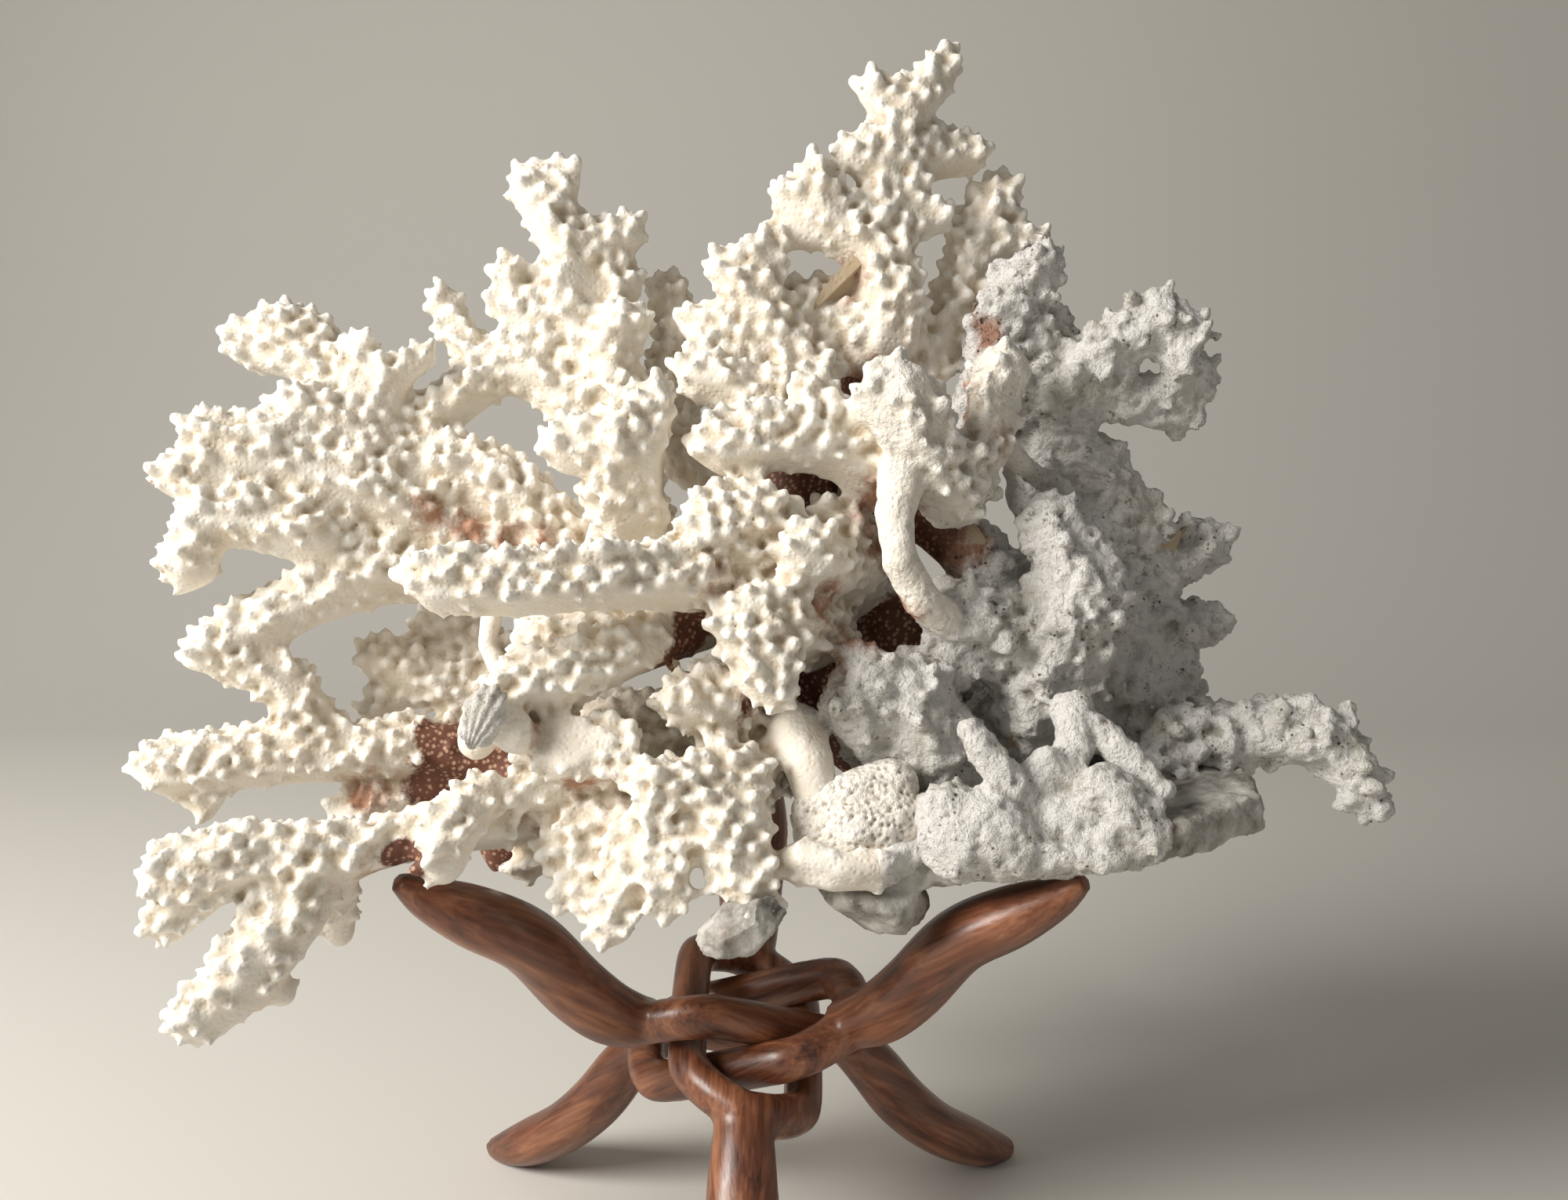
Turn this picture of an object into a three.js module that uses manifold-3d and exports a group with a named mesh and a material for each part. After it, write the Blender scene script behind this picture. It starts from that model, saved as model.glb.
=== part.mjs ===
// A colony of branching knob coral lying on a stand of three interlocked carved wooden links.
// Millimetres, +Z up. The model is laid out round the stand's upright axis, with the floor at
// Z = 0, +X to the right and +Y to the rear, and is moved at the end so that its origin is the
// middle of the bottom of its box.
import * as THREE from "three";
import { mergeVertices } from "three/addons/utils/BufferGeometryUtils.js";
import Module from "manifold-3d";

const wasm = await Module();
wasm.setup();

// Clearance left where one piece meets the next.
const gap = 0.3;
// Facets round a coral limb and round a carved link.
const limbSides = 5;
const bladeSides = 8;
const armSides = 6;
// Rings in the end of a limb, which comes to a blunt point.
const endRings = 1;

// The stand: three alike links, each a bar with a pointed foot, an open ring and a pointed head.
const linkCount = 3;
const firstHeadTurn = 90;
const ringHalfWidth = 14;
const ringMiddle = 57;
const ringClimb = 7.5;
const forkReach = 28;
const shoulderReach = 20;
const shoulderShare = 0.8;
const straightReach = 12;
// One arm of each ring stands this far above the link's middle line and the other as far below
// it, which lets the three rings pass through each other.
const armRise = 5.8;
const armHalf = 4.6;
const soleHeight = 2;

// The broken slab of old reef rock under the right half of the colony. Its outline is measured
// from its own middle, and its front left corner is broken off thicker than the rest.
const plateThickness = 9;
const plateTilt = 8;
const plateMiddle = [77, 0, 112];
const plateOutline = [
  [-60, -22],
  [-50, -40],
  [-18, -45],
  [20, -46],
  [41, -33],
  [44, -10],
  [34, 20],
  [12, 40],
  [-24, 44],
  [-54, 30],
  [-66, 4],
];
const cornerLump = { radii: [15, 14, 8], turn: 20, middle: [29, -34, 104] };

// The loose chip of the same rock under the front of the colony.
const rockChip = { radii: [11, 6, 7], turn: -29, middle: [0, -50, 102] };

// Finishes.
const finishes = {
  live: { color: "#e9e0cf", roughness: 0.62, metalness: 0 },
  skin: { color: "#8a6152", roughness: 0.7, metalness: 0 },
  dead: { color: "#b3aaa0", roughness: 0.85, metalness: 0 },
  rock: { color: "#8b857d", roughness: 0.9, metalness: 0 },
  wood: { color: "#4a2418", roughness: 0.4, metalness: 0 },
};

// Every piece made so far, with the slightly larger solid that cuts room for it out of the next.
const pieces = [];

// The closed solid of a three.js geometry.
function solidOf(geometry) {
  const bare = geometry.clone();
  bare.deleteAttribute("normal");
  bare.deleteAttribute("uv");
  const merged = mergeVertices(bare, 1e-4);
  const corners = Array.from(merged.index.array);
  const triVerts = [];
  for (let i = 0; i < corners.length; i += 3) {
    const [a, b, c] = corners.slice(i, i + 3);
    if (a !== b && b !== c && c !== a) triVerts.push(a, b, c);
  }
  return new wasm.Manifold(
    new wasm.Mesh({
      numProp: 3,
      vertProperties: merged.getAttribute("position").array,
      triVerts: new Uint32Array(triVerts),
    }),
  );
}

// The geometry of a finished solid, with flat facets.
function geometryOf(solid) {
  const mesh = solid.getMesh();
  const shape = new THREE.BufferGeometry();
  shape.setAttribute("position", new THREE.BufferAttribute(Float32Array.from(mesh.vertProperties), 3));
  shape.setIndex(Array.from(mesh.triVerts));
  const faceted = shape.toNonIndexed();
  faceted.computeVertexNormals();
  return faceted;
}

function joined(solids) {
  return solids.reduce((whole, solid) => whole.add(solid));
}

// The biggest of the separate bodies that a cut left.
function largest(solid) {
  const bodies = solid.decompose();
  return bodies.reduce((best, body) => (body.volume() > best.volume() ? body : best));
}

// Value at place t (0 to 1) of a row of numbers spread evenly along a route.
function along(values, t) {
  const place = t * (values.length - 1);
  const before = Math.min(Math.floor(place), values.length - 2);
  return THREE.MathUtils.lerp(values[before], values[before + 1], place - before);
}

// The level axis most nearly square to a route, which its sections are turned to.
function squareAxis(stops) {
  const run = stops.at(-1).clone().sub(stops[0]).normalize();
  const axes = [new THREE.Vector3(1, 0, 0), new THREE.Vector3(0, 1, 0), new THREE.Vector3(0, 0, 1)];
  return axes.reduce((best, axis) => (Math.abs(axis.dot(run)) < Math.abs(best.dot(run)) ? axis : best));
}

// A limb bent along a smooth route. Each stop is [x, y, z, half width, half depth];
// without a half depth the limb is round there.
function limb(route, { sides = limbSides, across = null, grow = 0 } = {}) {
  const stops = route.map(([x, y, z]) => new THREE.Vector3(x, y, z));
  const curve = new THREE.CatmullRomCurve3(stops);
  const halfWidths = route.map((stop) => stop[3] + grow);
  const halfDepths = route.map((stop) => (stop[4] ?? stop[3]) + grow);
  const square = across ?? squareAxis(stops);
  const spans = stops.length - 1;
  const shape = new THREE.CapsuleGeometry(1, spans, endRings, sides, spans);
  const place = shape.getAttribute("position");
  const point = new THREE.Vector3();
  for (let i = 0; i < place.count; i++) {
    point.fromBufferAttribute(place, i);
    const inside = THREE.MathUtils.clamp(point.y, -spans / 2, spans / 2);
    const t = inside / spans + 0.5;
    const width = along(halfWidths, t);
    const depth = along(halfDepths, t);
    const ahead = curve.getTangent(t);
    const lift = new THREE.Vector3().crossVectors(square, ahead).normalize();
    const side = new THREE.Vector3().crossVectors(ahead, lift);
    const spot = curve.getPoint(t);
    spot.addScaledVector(side, point.x * width);
    spot.addScaledVector(lift, point.z * depth);
    spot.addScaledVector(ahead, (point.y - inside) * Math.min(width, depth));
    place.setXYZ(i, spot.x, spot.y, spot.z);
  }
  return solidOf(shape);
}

function boxesMeet(a, b) {
  return a.min.every((low, i) => low <= b.max[i]) && b.min.every((low, i) => low <= a.max[i]);
}

// Adds one named piece, cut back to leave the clearance round every piece that it runs into.
function addPiece(name, finish, solid, room) {
  let shape = solid;
  for (const piece of pieces) {
    if (!boxesMeet(piece.solid.boundingBox(), shape.boundingBox())) continue;
    if (shape.intersect(piece.solid).volume() > 0) shape = shape.subtract(piece.room);
  }
  pieces.push({ name, finish, solid: largest(shape), room });
}

// A branch of coral from a fork to its tips: several limbs grown together.
function branch(name, finish, ...routes) {
  const solid = joined(routes.map((route) => limb(route)));
  const room = joined(routes.map((route) => limb(route, { grow: gap })));
  addPiece(name, finish, solid, room);
}

// A link's stop, from its distance along the link towards the head, its distance to the side of
// it and its height.
function linkStop(turn, [out, offset, height, halfWidth, halfDepth]) {
  const heading = THREE.MathUtils.degToRad(turn);
  const x = out * Math.cos(heading) - offset * Math.sin(heading);
  const y = out * Math.sin(heading) + offset * Math.cos(heading);
  return [x, y, height, halfWidth, halfDepth];
}

// One arm of a link's ring, on the side given by +1 or -1. It climbs from the foot's fork to the
// head's fork, bowed out to the side on the way.
function ringArm(side) {
  const stopAt = (out, share) => [
    out,
    side * ringHalfWidth * share,
    ringMiddle + ringClimb * Math.sin((out / forkReach) * (Math.PI / 2)) + side * armRise * share,
    armHalf,
    armHalf,
  ];
  return [
    stopAt(-forkReach, 0),
    stopAt(-shoulderReach, shoulderShare),
    stopAt(-straightReach, 1),
    stopAt(straightReach, 1),
    stopAt(shoulderReach, shoulderShare),
    stopAt(forkReach, 0),
  ];
}

// The pointed foot and the pointed head, as leaf-shaped blades.
const footRoute = [
  [-27, 0, 49, 6, 5.5],
  [-35, 0, 42, 7.5, 7],
  [-46, 0, 28, 9, 7.2],
  [-58, 0, 16.5, 9.5, 6.8],
  [-71, 0, 8.5, 8, 6.2],
  [-83, 0, 3.6, 3.8, 3.2],
];
const headRoute = [
  [27, 0, 65, 6, 5.5],
  [36, 0, 68.5, 7.5, 7.5],
  [46, 0, 77.5, 9, 7.8],
  [58, 0, 91.5, 10.3, 7.4],
  [72, 0, 99.5, 9, 6.8],
  [86, 0, 109.5, 3.6, 2.4],
];

// A block under the floor, bigger than the stand, that planes a foot's sole flat.
const floorBlockSize = 400;

function floorBlock() {
  const block = new THREE.BoxGeometry(floorBlockSize, floorBlockSize, floorBlockSize);
  block.translate(0, 0, soleHeight - floorBlockSize / 2);
  return solidOf(block);
}

function linkSolid(turn, grow) {
  const heading = THREE.MathUtils.degToRad(turn);
  const across = new THREE.Vector3(-Math.sin(heading), Math.cos(heading), 0);
  const bar = (route, sides) => limb(route.map((stop) => linkStop(turn, stop)), { sides, across, grow });
  const blades = [bar(footRoute, bladeSides), bar(headRoute, bladeSides)];
  const arms = [bar(ringArm(1), armSides), bar(ringArm(-1), armSides)];
  return joined([...blades, ...arms]).subtract(floorBlock());
}

function addStand() {
  const names = ["stand_link_rear", "stand_link_left", "stand_link_right"];
  for (let i = 0; i < linkCount; i++) {
    const turn = firstHeadTurn + (i * 360) / linkCount;
    addPiece(names[i], finishes.wood, linkSolid(turn, 0), linkSolid(turn, gap));
  }
}

// A rounded lump of rock with flat faces.
function lumpSolid({ radii, turn, middle }, grow) {
  const lump = new THREE.DodecahedronGeometry(1);
  lump.scale(...radii.map((radius) => radius + grow));
  lump.rotateY(THREE.MathUtils.degToRad(turn));
  lump.translate(...middle);
  return solidOf(lump);
}

function plateSolid(grow) {
  const corners = plateOutline.map(([x, y]) => {
    const corner = new THREE.Vector2(x, y);
    return corner.setLength(corner.length() + grow);
  });
  const depth = plateThickness + 2 * grow;
  const slab = new THREE.ExtrudeGeometry(new THREE.Shape(corners), { depth, bevelEnabled: false });
  slab.translate(0, 0, -grow);
  slab.rotateY(THREE.MathUtils.degToRad(-plateTilt));
  slab.translate(...plateMiddle);
  return solidOf(slab).add(lumpSolid(cornerLump, grow));
}

// The stems that the branches fork from.
function addStems() {
  const { skin, dead } = finishes;
  branch("trunk", skin, [[64, 8, 122, 14], [42, 12, 126, 17], [24, 14, 140, 16], [13, 15, 156, 13]]);
  branch(
    "stem_left",
    skin,
    [[16, 12, 132, 11], [-15, 8, 128, 12], [-45, 5, 125, 12], [-60, 1, 121, 12]],
    [[-56, 1, 118, 9], [-60, -4, 104, 7]],
  );
  branch("stem_up", skin, [[12, 15, 160, 12], [8, 14, 180, 12], [16, 14, 200, 11], [26, 14, 214, 10]]);
  branch(
    "stem_upper_left",
    skin,
    [[6, 15, 160, 11], [-15, 10, 165, 11], [-42, 6, 174, 11]],
    [[-42, 5, 177, 10], [-56, 4, 190, 10], [-66, 4, 197, 9], [-76, 4, 199, 8]],
  );
  branch("dead_trunk", dead, [[62, 6, 128, 14], [78, 8, 140, 17], [84, 8, 160, 16], [80, 12, 184, 13]]);
}

// The long arms and clubs that reach out to the left.
function addLeftBranches() {
  const { live } = finishes;
  branch(
    "arm_left_long",
    live,
    [[-58, 2, 126, 10], [-80, -4, 130, 8.5], [-109, -12, 130, 8.5], [-126, -16, 129, 8.5],
      [-137, -18, 128, 8]],
    [[-102, -8, 135, 8], [-108, -9, 146, 8], [-113, -10, 151, 7.5], [-120, -11, 151, 6.5]],
  );
  branch(
    "branch_left_mid",
    live,
    [[-46, 6, 176, 10], [-74, 2, 173, 10], [-92, -2, 173, 10], [-103, -5, 182, 7.5], [-107, -6, 190, 5.5]],
    [[-88, -3, 172, 9], [-104, -8, 166, 8], [-116, -10, 160, 8.5], [-127, -12, 154, 7.5]],
  );
  branch(
    "club_left",
    live,
    [[-98, -8, 181, 8], [-112, -10, 185, 8.5], [-124, -12, 186, 9], [-129, -12, 174, 8.5]],
  );
  branch(
    "branch_left_high",
    live,
    [[-62, 5, 178, 9], [-78, 2, 188, 9.5], [-94, 1, 205, 8.5], [-108, -1, 212, 7.5]],
    [[-76, 1, 187, 9], [-96, -4, 195, 8.5], [-112, -6, 200, 8.5], [-126, -8, 207, 7]],
  );
  branch(
    "club_upper_left",
    live,
    [[-78, 10, 203, 9], [-97, 12, 216, 9], [-108, 14, 227, 9], [-114, 15, 232, 8]],
  );
  branch(
    "stub_left_rear",
    live,
    [[-58, 8, 136, 8], [-80, 8, 145, 8], [-92, 6, 151, 7]],
    [[-58, 12, 144, 8], [-70, 15, 154, 7], [-82, 15, 157, 6]],
  );
  branch(
    "branch_upper_left",
    live,
    [[-26, 10, 192, 9], [-37, 12, 208, 9], [-47, 14, 218, 9], [-55, 15, 229, 8]],
    [[-49, 14, 219, 8], [-61, 14, 221, 8], [-71, 12, 213, 7.5], [-78, 10, 207, 7]],
    [[-64, 16, 219, 6], [-69, 18, 227, 6], [-73, 20, 232, 5.5], [-76, 22, 240, 5]],
  );
}

// The crown of tall branches.
function addCrown() {
  const { live } = finishes;
  branch(
    "tall_left",
    live,
    [[-33, 14, 214, 9], [-43, 16, 234, 9], [-42, 18, 249, 9], [-49, 20, 260, 8], [-54, 20, 267, 6.5]],
    [[-45, 16, 228, 7], [-57, 15, 236, 7], [-57, 16, 245, 6.5]],
  );
  branch(
    "ridge_mid_left",
    live,
    [[-24, 10, 204, 9], [-33, 8, 222, 8], [-27, 8, 233, 7]],
    [[-20, 16, 214, 7], [-17, 26, 230, 7], [-21, 30, 242, 6]],
  );
  branch(
    "branch_up_centre",
    live,
    [[14, 11, 218, 10], [7, 8, 231, 9], [1, 6, 240, 8.5], [-5, 5, 245, 6.5]],
    [[5, 8, 228, 7.5], [-12, 8, 231, 7]],
    [[28, 14, 222, 9], [24, 14, 233, 9], [13, 14, 237, 8]],
  );
  branch(
    "column_upper",
    live,
    [[34, 10, 226, 10], [36, 10, 237, 10], [33, 12, 248, 9.5], [34, 14, 258, 8.5]],
  );
  branch(
    "crown_top",
    live,
    [[33, 15, 260, 8], [35, 15, 272, 8], [38, 16, 282, 7.5], [45, 18, 289, 6.5], [49, 20, 295, 5.5]],
    [[36, 16, 270, 7], [48, 20, 273, 7], [56, 22, 274, 6.5]],
  );
  branch(
    "crown_left",
    live,
    [[32, 12, 248, 9], [22, 10, 256, 8], [17, 8, 262, 7.5], [16, 8, 268, 5.5]],
  );
  branch(
    "branch_upper_right",
    live,
    [[44, 16, 220, 8], [52, 20, 236, 7.5], [56, 22, 251, 8], [61, 24, 260, 7.5], [65, 25, 266, 6]],
  );
  branch(
    "knobs_centre_high",
    live,
    [[36, -8, 194, 9], [20, -14, 204, 9.5], [4, -17, 205, 9], [-7, -18, 203, 8.5]],
    [[18, -14, 206, 8], [16, -14, 215, 7]],
    [[6, 0, 204, 10], [-1, 1, 216, 9], [-12, 0, 220, 8]],
  );
}

// The dead and encrusted right half, with its arms.
function addRightBranches() {
  const { dead } = finishes;
  branch(
    "dead_column",
    dead,
    [[76, 18, 186, 12], [76, 18, 204, 12], [74, 15, 216, 11]],
    [[60, 9, 216, 9], [61, 8, 229, 9], [66, 8, 239, 9], [71, 8, 246, 7.5]],
    [[66, 10, 214, 10], [74, 12, 230, 8]],
  );
  branch(
    "arm_upper_right",
    dead,
    [[72, 8, 214, 8], [83, 5, 221, 8], [92, 3, 228, 7.5], [100, 2, 233, 6.5]],
    [[76, 10, 212, 9], [86, 8, 215, 8], [98, 8, 213, 7], [111, 8, 220, 6]],
  );
  branch(
    "dead_wall",
    dead,
    [[95, 10, 128, 12], [100, 12, 141, 14], [99, 15, 158, 13], [97, 16, 170, 10]],
    [[98, 19, 164, 8], [110, 20, 173, 7], [119, 20, 178, 6]],
    [[100, 19, 155, 9], [121, 22, 157, 6.5]],
  );
  branch("blade_right", dead, [[103, 18, 168, 8], [97, 15, 184, 8.5], [89, 13, 194, 8], [81, 11, 202, 7]]);
  branch(
    "dead_front",
    dead,
    [[68, 0, 128, 12], [71, -8, 141, 14], [75, -12, 161, 13], [79, -14, 175, 11]],
    [[77, -14, 174, 8], [70, -13, 187, 7.5]],
  );
  branch(
    "dead_shoulder",
    dead,
    [[68, -4, 150, 11], [56, -14, 162, 10], [48, -19, 164, 9]],
    [[76, 0, 172, 9], [65, 2, 180, 9], [57, 3, 180, 8]],
  );
  branch(
    "arm_right",
    dead,
    [[96, 5, 128, 12], [111, 0, 130, 11], [125, -4, 134, 8.5], [139, -8, 133, 8.5], [147, -10, 124, 7]],
    [[96, -2, 124, 10], [108, -12, 119, 8], [120, -15, 114, 6.5]],
  );
  branch(
    "cluster_right_centre",
    dead,
    [[50, -10, 190, 10], [43, -18, 198, 10], [37, -23, 208, 9.5], [35, -24, 218, 8]],
    [[46, -14, 194, 9], [57, -10, 204, 7.5], [57, -10, 214, 7], [59, -10, 220, 7]],
  );
  branch(
    "worm_pillar",
    dead,
    [[48, -22, 163, 4.4], [37, -29, 172, 4.2], [34, -30, 181, 4], [35, -22, 196, 4.4]],
  );
}

// The lobes and fingers at the middle of the front.
function addFrontBranches() {
  const { live } = finishes;
  branch(
    "column_front",
    live,
    [[-20, 4, 172, 10], [-27, -10, 188, 11], [-26, -15, 203, 10.5], [-21, -14, 213, 8.5]],
    [[-30, -14, 202, 9], [-42, -14, 203, 8]],
  );
  branch(
    "branch_front_long",
    live,
    [[8, -2, 166, 10], [-13, -27, 174, 9], [-31, -36, 175, 8.5], [-48, -40, 174, 8.5],
      [-66, -42, 175, 8.5]],
    [[-1, -16, 172, 10], [-5, -21, 181, 10], [-7, -23, 188, 9]],
  );
  branch(
    "mass_centre",
    live,
    [[22, 6, 166, 11], [24, -5, 176, 12], [20, -10, 184, 10]],
    [[20, -12, 174, 10], [14, -27, 180, 9]],
  );
  branch(
    "lobes_centre",
    live,
    [[18, -4, 158, 11], [7, -26, 163, 11], [-1, -33, 164, 9.5]],
    [[4, -31, 160, 10], [7, -34, 151, 9]],
  );
  branch(
    "branch_front_low",
    live,
    [[-8, -4, 162, 9], [-24, -24, 158, 8], [-39, -32, 153, 8.5], [-52, -34, 150, 7.5]],
    [[-20, -6, 163, 8], [-36, -14, 161, 9], [-48, -16, 157, 7.5]],
  );
  branch(
    "lobes_low_centre",
    live,
    [[8, 0, 140, 9], [-5, -22, 144, 10], [-14, -30, 147, 8]],
    [[-4, -8, 137, 9], [-24, -13, 138, 8.5], [-34, -15, 139, 7]],
  );
}

// The lowest branches, which hang over the stand.
function addLowBranches() {
  const { live, dead } = finishes;
  branch(
    "body_low_front",
    live,
    [[4, -2, 126, 11], [-3, -32, 128, 11.5], [-3, -40, 121, 11], [1, -44, 112, 9], [4, -46, 104, 6.5]],
    [[-9, -38, 129, 8], [-20, -42, 130, 7.5]],
  );
  branch(
    "broken_branch",
    live,
    [[-18, -4, 130, 8], [-28, -25, 131, 8.5], [-37, -32, 134, 8]],
  );
  branch(
    "fingers_low_left",
    live,
    [[-16, -14, 121, 9], [-30, -29, 119, 8.5], [-42, -33, 113, 7]],
    [[-32, -32, 116, 6.5], [-38, -38, 104, 5.5]],
    [[-32, -14, 118, 8], [-46, -14, 110, 8], [-53, -16, 103, 5]],
  );
  branch(
    "fingers_low_right",
    live,
    [[-20, -36, 120, 7.5], [-24, -41, 110, 7], [-29, -44, 98, 6.5]],
    [[-18, -41, 119, 7.5], [-15, -46, 105, 6]],
  );
  branch(
    "pillar_smooth",
    live,
    [[12, -10, 142, 7.5], [11, -29, 133, 7.5], [15, -34, 120, 6.5], [20, -37, 112, 6.5]],
  );
  branch(
    "arm_low_front",
    live,
    [[-44, -8, 116, 9], [-56, -30, 119, 8], [-67, -38, 119, 6.5], [-79, -44, 117, 6.5], [-89, -46, 116, 9]],
    [[-88, -46, 116, 8], [-102, -50, 117, 8], [-114, -54, 116, 8], [-121, -56, 114, 6.5]],
    [[-110, -53, 114, 7.5], [-118, -54, 107, 7], [-121, -54, 102, 5.5]],
  );
  branch(
    "arm_low_down",
    live,
    [[-91, -46, 112, 8], [-95, -50, 105, 9], [-101, -54, 97, 9], [-107, -56, 90, 8.5], [-115, -58, 83, 7]],
  );
  branch(
    "grey_centre",
    dead,
    [[48, -12, 122, 12], [43, -20, 136, 13], [36, -23, 149, 10]],
    [[33, -16, 132, 9], [25, -25, 145, 9], [28, -25, 154, 7]],
  );
  branch("honeycomb_mound", dead, [[20, -33, 119, 9.5], [29, -34, 118, 10]]);
  branch(
    "lump_round",
    dead,
    [[50, -41, 120, 12], [52, -43, 113, 12]],
    [[50, -42, 117, 10], [62, -43, 117, 9]],
  );
  branch(
    "knobs_smooth",
    dead,
    [[66, -18, 129, 10], [69, -34, 130, 7.5]],
    [[68, -28, 131, 7.5], [78, -32, 138, 6], [85, -36, 136, 5], [91, -40, 131, 4.5]],
  );
  branch("lumps_encrusted", dead, [[66, -45, 117, 6.5], [75, -45, 121, 8.5], [88, -43, 121, 7]]);
}

// The rear of the colony, which repeats the front's habit of growth.
function addRearBranches() {
  const { live, dead } = finishes;
  branch(
    "rear_low",
    live,
    [[14, 26, 134, 11], [6, 54, 128, 10], [0, 88, 121, 8.5]],
    [[6, 56, 130, 8], [-14, 72, 134, 7.5]],
  );
  branch(
    "rear_low_left",
    live,
    [[-24, 14, 130, 10], [-46, 46, 128, 9.5], [-82, 58, 123, 8]],
    [[-52, 48, 128, 8], [-58, 74, 120, 7]],
  );
  branch(
    "rear_mid_left",
    live,
    [[-30, 14, 168, 9], [-58, 40, 171, 9], [-86, 48, 175, 8]],
    [[-60, 40, 172, 8], [-68, 58, 184, 7]],
  );
  branch(
    "rear_high_left",
    live,
    [[0, 22, 190, 10], [-24, 40, 204, 9], [-46, 48, 224, 8]],
    [[-24, 40, 206, 8], [-14, 54, 220, 7]],
  );
  branch(
    "rear_high",
    live,
    [[26, 22, 212, 10], [28, 46, 224, 9], [34, 54, 244, 8]],
    [[27, 44, 224, 8], [10, 58, 232, 7]],
  );
  branch(
    "rear_mid",
    live,
    [[12, 26, 160, 12], [4, 54, 166, 11], [-8, 80, 176, 8.5]],
    [[6, 56, 166, 8], [26, 74, 178, 7.5]],
  );
  branch(
    "rear_right",
    dead,
    [[84, 22, 158, 12], [90, 48, 158, 11], [104, 62, 164, 8]],
    [[82, 28, 180, 10], [78, 50, 196, 9], [82, 56, 212, 7.5]],
    [[86, 40, 160, 9], [80, 34, 182, 9]],
  );
  branch(
    "rear_right_low",
    dead,
    [[66, 26, 128, 11], [78, 54, 126, 10], [88, 76, 121, 8]],
    [[40, 28, 138, 11], [42, 60, 142, 10], [48, 80, 150, 8]],
    [[42, 34, 134, 9], [68, 36, 130, 9]],
  );
}

// The mesh of one piece, with a finish of its own.
function meshOf({ name, finish, solid }) {
  const mesh = new THREE.Mesh(geometryOf(solid), new THREE.MeshStandardMaterial(finish));
  mesh.name = name;
  return mesh;
}

addStand();
addPiece("base_plate", finishes.rock, plateSolid(0), plateSolid(gap));
addStems();
addLeftBranches();
addCrown();
addRightBranches();
addFrontBranches();
addLowBranches();
addRearBranches();
addPiece("rock_chip", finishes.rock, lumpSolid(rockChip, 0), lumpSolid(rockChip, gap));

const part = new THREE.Group();
part.add(...pieces.map(meshOf));

// The origin goes to the middle of the bottom of the whole object's box.
const box = new THREE.Box3().setFromObject(part, true);
const middle = box.getCenter(new THREE.Vector3());
part.position.set(-middle.x, -middle.y, -box.min.z);

export default part;
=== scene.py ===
import math

import bmesh
import bpy
import numpy as np
from mathutils import Matrix, Vector, noise
from mathutils.bvhtree import BVHTree


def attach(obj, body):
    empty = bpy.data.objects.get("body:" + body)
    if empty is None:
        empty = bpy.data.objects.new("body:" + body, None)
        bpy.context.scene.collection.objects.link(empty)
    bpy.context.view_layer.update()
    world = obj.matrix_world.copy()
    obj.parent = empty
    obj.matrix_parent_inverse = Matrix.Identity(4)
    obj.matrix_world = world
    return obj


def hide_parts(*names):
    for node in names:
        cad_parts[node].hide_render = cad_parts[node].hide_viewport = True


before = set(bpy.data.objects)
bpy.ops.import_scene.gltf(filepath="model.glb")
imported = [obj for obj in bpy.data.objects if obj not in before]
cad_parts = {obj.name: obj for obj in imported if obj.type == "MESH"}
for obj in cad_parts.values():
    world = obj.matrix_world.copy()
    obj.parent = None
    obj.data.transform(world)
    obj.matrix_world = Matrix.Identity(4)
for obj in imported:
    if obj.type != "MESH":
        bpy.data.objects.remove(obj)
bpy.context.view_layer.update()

scene = bpy.context.scene
mm = 0.001

# Limbs and zones below are measured in millimetres from the stand's axis, 2 mm under its soles.
standAxis = Vector((-3.6, -5.12, -2.0))
colonyMiddle = Vector((14.0, 10.0, 150.0))


def place(stop):
    return (Vector(stop[:3]) + standAxis) * mm


def linear(code):
    channels = [int(code[i : i + 2], 16) / 255 for i in (1, 3, 5)]
    curve = [c / 12.92 if c <= 0.04045 else ((c + 0.055) / 1.055) ** 2.4 for c in channels]
    return (*curve, 1.0)


def addNode(tree, kind, inputs=None, stops=None, **settings):
    # inputs maps a socket's name or number to a value, or to the output that feeds it.
    # stops are a colour ramp's marks, each with its place and an sRGB colour or a grey.
    node = tree.nodes.new(kind)
    for name, value in settings.items():
        setattr(node, name, value)
    if stops:
        marks = node.color_ramp.elements
        while len(marks) < len(stops):
            marks.new(0.5)
        for mark, (at, tone) in zip(marks, stops):
            mark.position = at
            mark.color = linear(tone) if isinstance(tone, str) else (tone, tone, tone, 1)
    for key, value in (inputs or {}).items():
        if isinstance(value, bpy.types.NodeSocket):
            tree.links.new(value, node.inputs[key])
        else:
            node.inputs[key].default_value = value
    return node


def newMaterial(name):
    material = bpy.data.materials.new(name)
    material.use_nodes = True
    tree = material.node_tree
    tree.nodes.clear()
    shader = addNode(tree, "ShaderNodeBsdfPrincipled")
    addNode(tree, "ShaderNodeOutputMaterial", {"Surface": shader.outputs["BSDF"]})
    spot = addNode(tree, "ShaderNodeTexCoord").outputs["Object"]
    return material, tree, shader, spot


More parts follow.
